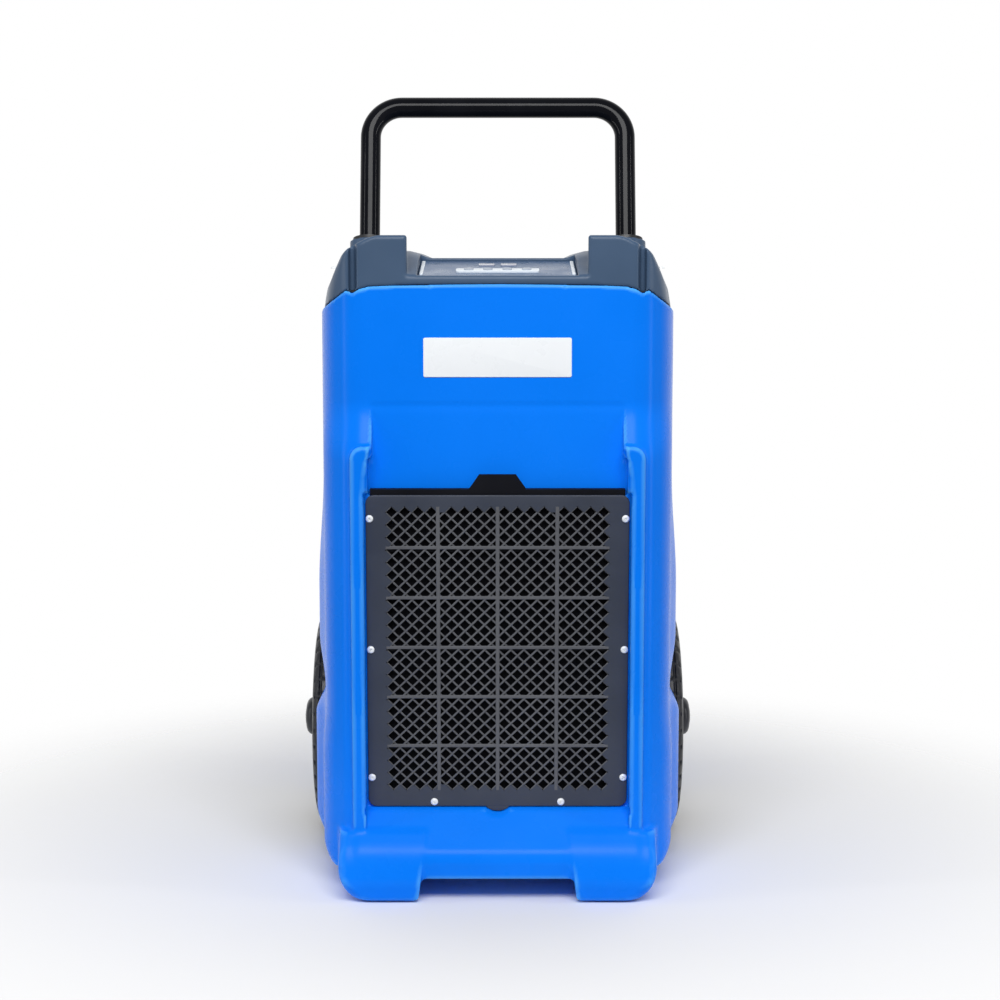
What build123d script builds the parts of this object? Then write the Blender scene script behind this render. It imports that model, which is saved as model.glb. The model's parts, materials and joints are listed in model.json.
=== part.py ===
from build123d import *
import os
from math import cos, radians, sin, sqrt

# Upright commercial dehumidifier: a rotomoulded housing with a moulded top cover, an intake grille with a
# pull-out filter in front, a duct collar behind, two large wheels at the rear and a telescopic handle.
# Millimetres. The origin is on the floor under the middle of the machine, -Y is the front, +Z is up.

os.makedirs("parts", exist_ok=True)

# ---- driving dimensions ----
FRONT = -270.0  # foremost point, the toe of the chin
BACK = 270.0  # rearmost point, the mouth of the duct collar
BODY_BACK = 240.0
BODY_HALF = 226.0
UPPER_FRONT = -215.0  # front face behind the name plate
LOWER_FRONT = -236.0  # front face beside the intake
WALL = 5.0
FLOOR_Z = 29.0  # underside of the housing between the feet
STEP_LOW, STEP_HIGH = 556.0, 612.0  # where the front face steps back
COVER_TOP = 818.0
GASKET_T = 2.0

WHEEL_Y, WHEEL_R = 118.0, 150.0
WELL_R, WELL_X = 168.0, 200.0  # wheel arch radius and the plane of its inner wall
TYRE_IN, TYRE_OUT = 207.0, 250.0
HUB_TIP = 271.0
AXLE_R = 8.0

LEAN = 2.9  # degrees, the intake leans forward towards its top
PLATE_HALF, PLATE_TALL, PLATE_T = 161.3, 394.0, 3.0
PLATE_LOW_Y, PLATE_LOW_Z = -215.0, 109.5  # foot of the grille plate's front face
FILTER_HALF, FILTER_T, FILTER_LOW = 147.0, 10.0, 14.5
LATTICE_HALF, LATTICE_LOW, LATTICE_TALL = 136.0, 21.5, 358.0
NOTCH_R, NOTCH_V = 21.75, 15.75  # half-round tongue at the foot of the plate
RAIL_HALF = 156.0

HANDLE_TILT = 15.0  # degrees back from upright
HANDLE_Y, HANDLE_Z = 115.0, 818.0  # where the leg axes meet the top of the cover
HANDLE_HALF, HANDLE_RISE, HANDLE_BEND = 176.0, 189.0, 43.0
TUBE_R, TUBE_T = 14.0, 1.8
LEG_END = -66.0  # lower end of the raised legs along their own axis
SLEEVE_LOW, SLEEVE_R, SLEEVE_BORE = -240.0, 19.0, 17.0
PAD_TOP = -4.0  # top of the cover's boss round each leg

FAN_Z, FAN_R = 430.0, 126.0
COLLAR_R = 125.0
COIL_HALF, COIL_LOW, COIL_TALL = 135.0, 130.0, 360.0
BULKHEAD_Y = -62.0
SHELF_Z = 36.0  # top of the base pan

# ---- shared planes and sketches ----
grille_plane = Plane(
    origin=(0, PLATE_LOW_Y, PLATE_LOW_Z),
    x_dir=(1, 0, 0),
    z_dir=(0, -cos(radians(LEAN)), -sin(radians(LEAN))),
)
leg_plane = Plane(
    origin=(0, HANDLE_Y, HANDLE_Z),
    x_dir=(1, 0, 0),
    z_dir=(0, sin(radians(HANDLE_TILT)), cos(radians(HANDLE_TILT))),
)
handle_plane = Plane(
    origin=(0, HANDLE_Y, HANDLE_Z),
    x_dir=(1, 0, 0),
    z_dir=(0, -cos(radians(HANDLE_TILT)), sin(radians(HANDLE_TILT))),
)
PANEL_Y, PANEL_Z, PANEL_TILT = -190.0, 769.0, 9.4
PANEL_T, PANEL_DROP = 3.0, -3.5  # thickness of the control panel and where its underside lies
panel_plane = Plane(
    origin=(0, PANEL_Y, PANEL_Z),
    x_dir=(1, 0, 0),
    z_dir=(0, -sin(radians(PANEL_TILT)), cos(radians(PANEL_TILT))),
)
SIDES = {"left": -1, "right": 1}
FILTER_STEP = PLATE_T + 0.5  # from the plate's front face back to the filter


def keep(piece, name):
    """Labels a finished piece and writes it as one node."""
    piece.part.label = name
    export_step(piece.part, f"parts/{name}.step")


def outline(front, inset=0.0):
    """Plan of the housing: wide chamfers at the front corners, sides that flare to full width, rounded rear."""
    half, back, near = BODY_HALF - inset, BODY_BACK - inset, front + inset
    chamfer_x, chamfer_y, flare_x, flare_y, rear = 42.0, 50.0, 8.0, 60.0, 30.0
    with BuildSketch() as plan:
        with BuildLine():
            Polyline(
                (half - chamfer_x, near),
                (half - flare_x, near + chamfer_y),
                (half, near + chamfer_y + flare_y),
                (half, back - rear),
                (half - rear, back),
                (rear - half, back),
                (-half, back - rear),
                (-half, near + chamfer_y + flare_y),
                (flare_x - half, near + chamfer_y),
                (chamfer_x - half, near),
                close=True,
            )
        make_face()
        fillet(plan.vertices(), 22)
    return plan.sketch


def well(grow=0.0):
    """Side view of a wheel arch, open below and behind, drawn as (y, z)."""
    radius = WELL_R + grow
    with BuildSketch() as shape:
        with Locations((WHEEL_Y, WHEEL_R)):
            Circle(radius)
            Rectangle(2 * radius, 300, align=(Align.CENTER, Align.MAX))
            Rectangle(300, radius, align=(Align.MIN, Align.MIN))
            Rectangle(300, 300, align=(Align.MIN, Align.MAX))
    return shape.sketch


def parting(top, drop=0.0):
    """Front view of everything above the joint line between housing and cover, up to a height, as (x, z)."""
    side = [(x, z - drop) for x, z in [(260, 706), (184, 751), (178.5, 746), (172, 753), (158, 757)]]
    with BuildSketch() as shape:
        with BuildLine():
            Polyline(
                (-260, top),
                *[(-x, z) for x, z in side],
                (0, 759 - drop),
                *reversed(side),
                (260, top),
                close=True,
            )
        make_face()
    return shape.sketch


def leg_places():
    """Where the two legs cross the leg plane."""
    return Locations((-HANDLE_HALF, 0), (HANDLE_HALF, 0))


def tube_along(points, bends, radius):
    """A solid rod that follows straight runs joined by arcs; bends holds one radius for each inner corner."""
    with BuildPart() as rod:
        with BuildLine() as path:
            FilletPolyline(*points, radius=bends)
        with BuildSketch(Plane(origin=path.line @ 0, z_dir=path.line % 0)):
            Circle(radius)
        sweep()
    return rod.part


# ---- housing ----
with BuildPart() as cavity:
    with BuildSketch(Plane.XY.offset(FLOOR_Z + WALL)):
        add(outline(LOWER_FRONT, WALL))
    extrude(amount=STEP_LOW - FLOOR_Z - WALL)
    with BuildSketch(Plane.XY.offset(STEP_LOW)):
        add(outline(LOWER_FRONT, WALL))
    with BuildSketch(Plane.XY.offset(STEP_HIGH)):
        add(outline(UPPER_FRONT, WALL))
    loft()
    with BuildSketch(Plane.XY.offset(STEP_HIGH)):
        add(outline(UPPER_FRONT, WALL))
    extrude(amount=160)
    for sign in SIDES.values():
        with BuildSketch(Plane.YZ.offset(sign * (WELL_X - WALL))):
            add(well(WALL))
        extrude(amount=sign * 60, mode=Mode.SUBTRACT)
    with BuildSketch(grille_plane.offset(-(FILTER_STEP + FILTER_T + 1 + WALL))):
        with Locations((0, -30)):
            Rectangle(2 * (PLATE_HALF + 7), 550, align=(Align.CENTER, Align.MIN))
    extrude(amount=80, mode=Mode.SUBTRACT)

FOOT_IN, FOOT_OUT, FOOT_DEEP = 95.0, 197.0, 130.0
PAD_PLACES = [(sign * x, FRONT + 35 + y) for sign in (-1, 1) for x, y in ((125, 0), (175, 0), (150, 60))]
SCREW_PLACES = [(sign * 156.5, v) for sign in (-1, 1) for v in (365, 201, 37.5)] + [(-79, 6), (79, 6)]
SCREW_SEAT = 778.0  # floor of the counterbores in the cover
COVER_SCREWS = [(sign * 206.0, y) for sign in (-1, 1) for y in (-120.0, 40.0, 190.0)]

with BuildPart() as body_shell:
    with BuildSketch(Plane.XY.offset(FLOOR_Z)):
        add(outline(LOWER_FRONT))
    extrude(amount=STEP_LOW - FLOOR_Z)
    with BuildSketch(Plane.XY.offset(STEP_LOW)):
        add(outline(LOWER_FRONT))
    with BuildSketch(Plane.XY.offset(STEP_HIGH)):
        add(outline(UPPER_FRONT))
    loft()
    with BuildSketch(Plane.XY.offset(STEP_HIGH)):
        add(outline(UPPER_FRONT))
    extrude(amount=160)
    # raised surround of the intake, with the chin that runs forward to the toes
    with BuildSketch(Plane.YZ):
        with BuildLine():
            Polyline(
                (UPPER_FRONT + 20, 600),
                (UPPER_FRONT - 2, 600),
                (-247, 548),
                (-239, 128),
                (FRONT, 52),
                (FRONT, FLOOR_Z),
                (UPPER_FRONT + 20, FLOOR_Z),
                close=True,
            )
        make_face()
    extrude(amount=179, both=True)
    # the chin slopes forward from the foot of the plate
    with BuildSketch(Plane.YZ):
        with BuildLine():
            Polyline((UPPER_FRONT - 1, 107.5), (-264.3, 66), (-300, 66), (-300, 107.5), close=True)
        make_face()
    extrude(amount=PLATE_HALF + 1.7, both=True, mode=Mode.SUBTRACT)
    # feet
    for sign in SIDES.values():
        with BuildSketch(Plane.XY.offset(2)):
            with Locations((sign * (FOOT_IN + FOOT_OUT) / 2, FRONT + FOOT_DEEP / 2)):
                RectangleRounded(FOOT_OUT - FOOT_IN, FOOT_DEEP, 18)
        extrude(amount=50)
    add(cavity.part, mode=Mode.SUBTRACT)
    with BuildSketch(Plane.XY.offset(2)):
        with Locations(*PAD_PLACES):
            Circle(14.2)
    extrude(amount=5, mode=Mode.SUBTRACT)
    # posts that take the cover screws
    with BuildSketch(Plane.XY.offset(640)):
        with Locations(*[(x * 1.02, y) for x, y in COVER_SCREWS]):
            Rectangle(25, 18)
    extrude(amount=120)
    with BuildSketch(Plane.XY.offset(690)):
        with Locations(*COVER_SCREWS):
            Circle(2.05)
    extrude(amount=80, mode=Mode.SUBTRACT)
    for sign in SIDES.values():
        with BuildSketch(Plane.YZ.offset(sign * WELL_X)):
            add(well())
        extrude(amount=sign * 60, mode=Mode.SUBTRACT)
    # seat of the plate, slot of the filter, bay above them and the air way
    with BuildSketch(grille_plane.offset(-PLATE_T)):
        with Locations((0, -2)):
            Rectangle(2 * (PLATE_HALF + 1.7), PLATE_TALL + 2, align=(Align.CENTER, Align.MIN))
        with Locations((0, NOTCH_V)):
            Circle(NOTCH_R + 1)
    extrude(amount=60, mode=Mode.SUBTRACT)
    with BuildSketch(grille_plane.offset(-(FILTER_STEP + FILTER_T + 1))):
        with Locations((0, FILTER_LOW - 1.5)):
            Rectangle(2 * (FILTER_HALF + 1.5), PLATE_TALL, align=(Align.CENTER, Align.MIN))
        with Locations((0, PLATE_TALL)):
            Rectangle(2 * (RAIL_HALF + 2.5), 112, align=(Align.CENTER, Align.MIN))
    extrude(amount=60, mode=Mode.SUBTRACT)
    with BuildSketch(grille_plane.offset(-60)):
        with Locations((0, LATTICE_LOW)):
            Rectangle(276, 364, align=(Align.CENTER, Align.MIN))
    extrude(amount=60, mode=Mode.SUBTRACT)
    with BuildSketch(grille_plane.offset(-PLATE_T)):
        with Locations(*SCREW_PLACES):
            Circle(2.05)
    extrude(amount=-11, mode=Mode.SUBTRACT)
    # rear: duct opening, axle, inlet and drain
    with BuildSketch(Plane.XZ.offset(-BODY_BACK - 5)):
        with Locations((0, FAN_Z)):
            Circle(118)
        with Locations((-70, 120)):
            Rectangle(50, 32)
        with Locations((70, 100)):
            Circle(9)
    extrude(amount=15, mode=Mode.SUBTRACT)
    with Locations(Location((0, WHEEL_Y, WHEEL_R), (0, 90, 0))):
        Cylinder(AXLE_R + 0.4, 2 * WELL_X + 20, mode=Mode.SUBTRACT)
    with BuildSketch(Plane.XZ):
        add(parting(1000, GASKET_T))
    extrude(amount=400, both=True, mode=Mode.SUBTRACT)
keep(body_shell, "body_shell")

with BuildPart() as top_cover:
    with BuildSketch(Plane.XY.offset(700)):
        add(outline(UPPER_FRONT))
    extrude(amount=130)
    # front view of the cover: shoulders, grooves and the two raised rails
    with BuildSketch(Plane.XZ) as front_view:
        with BuildLine():
            half_top = [(260, 706), (226, 735), (222, 748), (214, 780), (196, 806), (184, 808), (172, 808)]
            rails = [(158, COVER_TOP - 3), (112, COVER_TOP - 3), (109, 801)]
            side = [(184, 751), (178.5, 746), (172, 753), (158, 757)]
            right = [(0, 759), *reversed(side), *half_top, *rails]
            Polyline(*right, *[(-x, z) for x, z in reversed(right)][:-1], close=True)
        make_face()
    extrude(amount=400, both=True, mode=Mode.INTERSECT)
    # dished saddle between the rails
    with BuildSketch(Plane.YZ):
        with BuildLine():
            Polyline(
                (-240, 769),
                (PANEL_Y, PANEL_Z + 1),
                (-72, 793),
                (60, 794),
                (260, 790),
                (260, 900),
                (-240, 900),
                close=True,
            )
        make_face()
    extrude(amount=104, both=True, mode=Mode.SUBTRACT)
    for sign in SIDES.values():
        # groove down each front corner
        with Locations((sign * 178.5, UPPER_FRONT, 790)):
            Box(11, 16, 140, mode=Mode.SUBTRACT)
    with BuildSketch(Plane.XY.offset(690)):
        add(outline(UPPER_FRONT, 32))
    extrude(amount=70, mode=Mode.SUBTRACT)
    for sign in SIDES.values():
        with BuildSketch(Plane.XY.offset(755)):
            with Locations((sign * 136, 0)):
                Rectangle(42, 400)
        extrude(amount=54, mode=Mode.SUBTRACT)
    # bosses for the handle, bored for its sleeves
    with BuildSketch(leg_plane.offset(-50)):
        with leg_places():
            Circle(25)
    extrude(amount=PAD_TOP + 50)
    with BuildSketch(leg_plane.offset(PAD_TOP)):
        with leg_places():
            Circle(25)
    extrude(amount=50, mode=Mode.SUBTRACT)
    with BuildSketch(leg_plane.offset(-140)):
        with leg_places():
            Circle(SLEEVE_R + 0.3)
    extrude(amount=200, mode=Mode.SUBTRACT)
    # seat of the control panel
    with BuildSketch(panel_plane.offset(PANEL_DROP)):
        with Locations((0, 58)):
            RectangleRounded(198, 118, 6)
    extrude(amount=30, mode=Mode.SUBTRACT)
    with BuildSketch(panel_plane.offset(-30)):
        with Locations((0, 58)):
            Rectangle(170, 96)
    extrude(amount=30, mode=Mode.SUBTRACT)
    with BuildSketch(Plane.XY.offset(700)):
        with Locations(*COVER_SCREWS):
            Circle(2.4)
    extrude(amount=120, mode=Mode.SUBTRACT)
    with BuildSketch(Plane.XY.offset(SCREW_SEAT)):
        with Locations(*COVER_SCREWS):
            Circle(6)
    extrude(amount=50, mode=Mode.SUBTRACT)
keep(top_cover, "top_cover")

with BuildPart() as cover_gasket:
    with BuildSketch(Plane.XY.offset(690)):
        add(outline(UPPER_FRONT, 1.5))
        add(outline(UPPER_FRONT, WALL), mode=Mode.SUBTRACT)
    extrude(amount=90)
    with BuildSketch(Plane.XZ):
        add(parting(1000, GASKET_T))
        add(parting(1000), mode=Mode.SUBTRACT)
    extrude(amount=400, both=True, mode=Mode.INTERSECT)
keep(cover_gasket, "cover_gasket")

with BuildPart() as cover_screws:
    with BuildSketch(Plane.XY.offset(692)):
        with Locations(*COVER_SCREWS):
            Circle(2)
    extrude(amount=SCREW_SEAT - 692)
    with BuildSketch(Plane.XY.offset(SCREW_SEAT)):
        with Locations(*COVER_SCREWS):
            Circle(4.5)
    extrude(amount=3, taper=15)
keep(cover_screws, "cover_screws")

# ---- intake ----
HALF_PITCH_X, HALF_PITCH_V = 73 / 9, 62.7 / 8  # half the spacing of the lattice's openings
RIB_COLUMN, RIB_ROW = 9, 8  # half pitches from one straight rib to the next
OPENING_X, OPENING_V = 5.8, 5.6  # half-diagonals of one opening
LAST_COLUMN, LAST_ROW = 16, 22
lattice_mid = LATTICE_LOW + LATTICE_TALL / 2


def open_at(column, row):
    """True where an opening stands: on every other node of the half-pitch grid, clear of the straight ribs."""
    clear = column % RIB_COLUMN and row % RIB_ROW
    shifted = abs(column) < RIB_COLUMN  # the openings between the middle ribs are staggered against the outer ones
    return clear and (column + row + shifted) % 2 == 0


hole_places = [
    (column * HALF_PITCH_X, row * HALF_PITCH_V + lattice_mid)
    for column in range(-LAST_COLUMN, LAST_COLUMN + 1)
    for row in range(-LAST_ROW, LAST_ROW + 1)
    if open_at(column, row)
]

rim_wire = (Pos(0, lattice_mid) * Rectangle(2 * LATTICE_HALF, LATTICE_TALL)).wire()
hole_wire = Wire.make_polygon([(-OPENING_X, 0), (0, -OPENING_V), (OPENING_X, 0), (0, OPENING_V)])

with BuildPart() as front_grille:
    with BuildSketch(grille_plane.offset(-PLATE_T)):
        with Locations((0, PLATE_TALL / 2)):
            RectangleRounded(2 * PLATE_HALF, PLATE_TALL, 10)
        with Locations((0, NOTCH_V)):
            Circle(NOTCH_R)
        with Locations(*SCREW_PLACES):
            Circle(2.4, mode=Mode.SUBTRACT)
        with Locations((0, lattice_mid)):
            Rectangle(2 * LATTICE_HALF, LATTICE_TALL, mode=Mode.SUBTRACT)
    extrude(amount=PLATE_T)
    with BuildSketch(grille_plane.offset(-PLATE_T)):
        add(Face(rim_wire, [Pos(x, v) * hole_wire for x, v in hole_places]))
    extrude(amount=PLATE_T)
keep(front_grille, "front_grille")

with BuildPart() as grille_screws:
    with BuildSketch(grille_plane):
        with Locations(*SCREW_PLACES):
            Circle(4.6)
    extrude(amount=2.4, taper=25)
    with BuildSketch(grille_plane):
        with Locations(*SCREW_PLACES):
            Circle(2)
    extrude(amount=-10)
keep(grille_screws, "grille_screws")

with BuildPart() as filter_frame:
    with BuildSketch(grille_plane.offset(-FILTER_STEP)):
        with Locations((0, FILTER_LOW)):
            Rectangle(2 * FILTER_HALF, PLATE_TALL - FILTER_LOW, align=(Align.CENTER, Align.MIN))
        with Locations((0, PLATE_TALL)):
            Rectangle(2 * RAIL_HALF, 7, align=(Align.CENTER, Align.MIN))
        with Locations((0, lattice_mid)):
            Rectangle(274, 362, mode=Mode.SUBTRACT)
            with GridLocations(0, 2 * RIB_ROW * HALF_PITCH_V, 1, 3):
                Rectangle(280, 5)
    extrude(amount=-FILTER_T)
    # pull tab
    with BuildSketch(grille_plane.offset(-FILTER_STEP)):
        with Locations((0, PLATE_TALL + 7)):
            Trapezoid(70, 18, 55, align=(Align.CENTER, Align.MIN))
    extrude(amount=-5)
    with BuildSketch(grille_plane.offset(-FILTER_STEP - 4)):
        with Locations((0, lattice_mid)):
            Rectangle(274, 362)
    extrude(amount=-1.2, mode=Mode.SUBTRACT)
keep(filter_frame, "filter_frame")

with BuildPart() as filter_mesh:
    with BuildSketch(grille_plane.offset(-FILTER_STEP - 4)):
        with Locations((0, lattice_mid)):
            Rectangle(274, 362)
    extrude(amount=-1.2)
keep(filter_mesh, "filter_mesh")

with BuildPart() as name_plate:
    with BuildSketch(Plane.XZ.offset(-UPPER_FRONT)):
        with Locations((0, 670)):
            RectangleRounded(181, 48, 2)
    extrude(amount=1.2)
keep(name_plate, "name_plate")

# ---- control panel ----
BEZEL_T = 2.5
BUTTON_V, BUTTON_R, WINDOW_V = 35.0, 6.0, 84.0
BUTTONS = {"button_power": -36.0, "button_mode": -12.0, "button_down": 12.0, "button_up": 36.0}
button_places = [(x, BUTTON_V) for x in BUTTONS.values()]

with BuildPart() as control_panel:
    with BuildSketch(panel_plane.offset(PANEL_DROP)):
        with Locations((0, 58)):
            RectangleRounded(195, 115, 5)
        with Locations(*button_places):
            Circle(BUTTON_R + 0.4, mode=Mode.SUBTRACT)
    extrude(amount=PANEL_T)
keep(control_panel, "control_panel")

with BuildPart() as button_bezel:
    with BuildSketch(panel_plane.offset(PANEL_DROP + PANEL_T)):
        with Locations((0, BUTTON_V)):
            RectangleRounded(104, 20, 4)
        with Locations(*button_places):
            Circle(BUTTON_R + 0.4, mode=Mode.SUBTRACT)
    extrude(amount=BEZEL_T)
keep(button_bezel, "button_bezel")

with BuildPart() as display_window:
    with BuildSketch(panel_plane.offset(PANEL_DROP + PANEL_T)):
        with Locations((-14, WINDOW_V), (14, WINDOW_V)):
            RectangleRounded(20, 12, 2)
    extrude(amount=1.5)
keep(display_window, "display_window")

with BuildPart() as display_board:
    with BuildSketch(panel_plane.offset(PANEL_DROP - 8)):
        with Locations((0, 55)):
            Rectangle(150, 70)
    extrude(amount=-1.6)
    with BuildSketch(panel_plane.offset(PANEL_DROP - 8)):
        with Locations((-70, 25), (70, 25), (-70, 85), (70, 85)):
            Rectangle(7, 7)
    extrude(amount=8)
keep(display_board, "display_board")

for button_name, button_x in BUTTONS.items():
    with BuildPart() as button:
        with BuildSketch(panel_plane.offset(PANEL_DROP - 2.2)):
            with Locations((button_x, BUTTON_V)):
                Circle(BUTTON_R + 1.5)
        extrude(amount=1.5)
        with BuildSketch(panel_plane.offset(PANEL_DROP - 0.7)):
            with Locations((button_x, BUTTON_V)):
                Circle(BUTTON_R)
        extrude(amount=PANEL_T + BEZEL_T + 2.4)
        fillet(button.edges().sort_by(Axis.Z)[-1], 0.6)
    keep(button, button_name)

# ---- handle ----
with BuildPart() as handle_tube:
    with BuildLine(handle_plane) as grip_path:
        FilletPolyline(
            (-HANDLE_HALF, LEG_END),
            (-HANDLE_HALF, HANDLE_RISE),
            (HANDLE_HALF, HANDLE_RISE),
            (HANDLE_HALF, LEG_END),
            radius=HANDLE_BEND,
        )
    with BuildSketch(Plane(origin=grip_path.line @ 0, z_dir=grip_path.line % 0)):
        Circle(TUBE_R)
        Circle(TUBE_R - TUBE_T, mode=Mode.SUBTRACT)
    sweep()
keep(handle_tube, "handle_tube")

GLIDE_T = 32.0
with BuildPart() as handle_glides:
    with BuildSketch(leg_plane.offset(LEG_END - 3)):
        with leg_places():
            Circle(SLEEVE_BORE - 0.3)
    extrude(amount=GLIDE_T)
    with BuildSketch(leg_plane.offset(LEG_END)):
        with leg_places():
            Circle(TUBE_R + 0.02)
    extrude(amount=GLIDE_T, mode=Mode.SUBTRACT)
keep(handle_glides, "handle_glides")

with BuildPart() as guide_sleeves:
    with BuildSketch(leg_plane.offset(SLEEVE_LOW)):
        with leg_places():
            Circle(SLEEVE_R)
            Circle(SLEEVE_BORE, mode=Mode.SUBTRACT)
    extrude(amount=PAD_TOP - SLEEVE_LOW)
keep(guide_sleeves, "guide_sleeves")

with BuildPart() as sleeve_bushes:
    with BuildSketch(leg_plane.offset(PAD_TOP)):
        with leg_places():
            Circle(23)
            Circle(TUBE_R + 0.25, mode=Mode.SUBTRACT)
    extrude(amount=5)
    with BuildSketch(leg_plane.offset(PAD_TOP)):
        with leg_places():
            Circle(SLEEVE_BORE - 0.05)
            Circle(TUBE_R + 0.25, mode=Mode.SUBTRACT)
    extrude(amount=-20)
keep(sleeve_bushes, "sleeve_bushes")

# ---- wheels and axle ----
HUB_IN, HUB_OUT, HUB_R, BUSH_R = 209.0, 253.0, 26.0, 12.5
RIM_R = 104.0
wheel_view = Plane(origin=(0, WHEEL_Y, WHEEL_R), x_dir=(1, 0, 0), z_dir=(0, -1, 0))  # drawn as (x, radius)
wheel_axis = Axis((0, WHEEL_Y, WHEEL_R), (1, 0, 0))


def turned(points, rounding=0.0):
    """A ring about the axle; points run round its section as (x, radius) on the right-hand wheel."""
    with BuildPart() as ring:
        with BuildSketch(wheel_view) as section:
            with BuildLine():
                Polyline(*points, close=True)
            make_face()
            if rounding:
                fillet(section.vertices(), rounding)
        revolve(axis=wheel_axis)
    return ring.part


TYRE_SECTION = [
    (TYRE_IN + 6, RIM_R),
    (TYRE_OUT - 6, RIM_R),
    (TYRE_OUT, RIM_R + 14),
    (TYRE_OUT - 4, WHEEL_R - 6),
    (TYRE_OUT - 16, WHEEL_R),
    (TYRE_IN + 16, WHEEL_R),
    (TYRE_IN + 4, WHEEL_R - 6),
    (TYRE_IN, RIM_R + 14),
]
WEB_IN, WEB_OUT = 224.0, 232.0
RIM_SECTION = [
    (HUB_IN, BUSH_R),
    (HUB_OUT, BUSH_R),
    (HUB_OUT, HUB_R),
    (WEB_OUT + 4, HUB_R + 6),
    (WEB_OUT, RIM_R - 12),
    (TYRE_OUT - 7, RIM_R - 8),
    (TYRE_OUT - 7, RIM_R),
    (TYRE_IN + 7, RIM_R),
    (TYRE_IN + 7, RIM_R - 8),
    (WEB_IN, RIM_R - 12),
    (WEB_IN - 4, HUB_R + 6),
    (HUB_IN, HUB_R),
]
BUSH_SECTION = [(HUB_IN, AXLE_R + 0.06), (HUB_OUT + 1, AXLE_R + 0.06), (HUB_OUT + 1, BUSH_R), (HUB_IN, BUSH_R)]
HUB_CAP_SECTION = [
    (HUB_OUT, HUB_R - 6),
    (HUB_OUT, HUB_R),
    (HUB_OUT + 8, HUB_R - 1),
    (HUB_TIP - 1.5, HUB_R - 8),
    (HUB_TIP, HUB_R - 16),
    (HUB_TIP, 0),
    (HUB_TIP - 2.5, 0),
    (HUB_TIP - 2.5, HUB_R - 12),
    (HUB_TIP - 8, HUB_R - 6),
]

for side, sign in SIDES.items():
    for piece_name, section_points, rounding in (
        ("tyre", TYRE_SECTION, 2.5),
        ("rim", RIM_SECTION, 0),
        ("wheel_bush", BUSH_SECTION, 0),
        ("hub_cap", HUB_CAP_SECTION, 0),
    ):
        with BuildPart() as wheel_piece:
            add(turned([(x, r) for x, r in section_points], rounding))
            if sign < 0:
                mirror(about=Plane.YZ, mode=Mode.REPLACE)
        keep(wheel_piece, f"{piece_name}_{side}")

AXLE_END, PIN_X = 264.0, 260.5
with BuildPart() as axle:
    with BuildSketch(Plane(origin=(-AXLE_END, WHEEL_Y, WHEEL_R), x_dir=(0, 1, 0), z_dir=(1, 0, 0))):
        Circle(AXLE_R)
    extrude(amount=2 * AXLE_END)
    chamfer(axle.edges().filter_by(GeomType.CIRCLE), 1)
    with Locations(*[(sign * PIN_X, WHEEL_Y, WHEEL_R) for sign in (-1, 1)]):
        Cylinder(1.7, 30, mode=Mode.SUBTRACT)
keep(axle, "axle")

with BuildPart() as split_pins:
    with Locations(*[(sign * PIN_X, WHEEL_Y, WHEEL_R) for sign in (-1, 1)]):
        Cylinder(1.6, 26)
    with Locations(*[(sign * PIN_X, WHEEL_Y, WHEEL_R + 14.5) for sign in (-1, 1)]):
        Cylinder(2.1, 3)
keep(split_pins, "split_pins")

with BuildPart() as axle_washers:
    for start, thickness in ((203.2, 5.4), (HUB_OUT + 1.3, 2.4)):
        for sign in SIDES.values():
            with BuildSketch(Plane(origin=(sign * start, WHEEL_Y, WHEEL_R), x_dir=(0, 1, 0), z_dir=(sign, 0, 0))):
                Circle(14)
                Circle(AXLE_R + 0.02, mode=Mode.SUBTRACT)
            extrude(amount=thickness)
keep(axle_washers, "axle_washers")

with BuildPart() as axle_brackets:
    for sign in SIDES.values():
        with BuildSketch(Plane(origin=(sign * WELL_X, WHEEL_Y, WHEEL_R), x_dir=(0, 1, 0), z_dir=(sign, 0, 0))):
            RectangleRounded(70, 70, 10)
            Circle(AXLE_R + 0.02, mode=Mode.SUBTRACT)
        extrude(amount=3)
keep(axle_brackets, "axle_brackets")

with BuildPart() as foot_pads:
    with BuildSketch(Plane.XY):
        with Locations(*PAD_PLACES):
            Circle(14)
    extrude(amount=7)
keep(foot_pads, "foot_pads")

# ---- base, coils and their frame ----
COIL_Y = {"evaporator_coil": -168.0, "condenser_coil": -102.0}
COIL_DEPTH, FIN_COUNT, FIN_PITCH, FIN_T = 40.0, 28, 9.6, 2.4
COIL_TUBE_R, ROWS, ROW_PITCH = 5.0, 8, 40.0
COIL_END = 140.0
coil_mid = COIL_LOW + COIL_TALL / 2
line_low, line_high = coil_mid - 3.5 * ROW_PITCH, coil_mid + 3.5 * ROW_PITCH

with BuildPart() as base_pan:
    with BuildSketch(Plane.XY.offset(FLOOR_Z + WALL)):
        with Locations((0, 36)):
            RectangleRounded(372, 372, 20)
    extrude(amount=14)
    with BuildSketch(Plane.XY.offset(SHELF_Z)):
        with Locations((0, 36)):
            RectangleRounded(368, 368, 18)
    extrude(amount=20, mode=Mode.SUBTRACT)
keep(base_pan, "base_pan")

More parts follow.
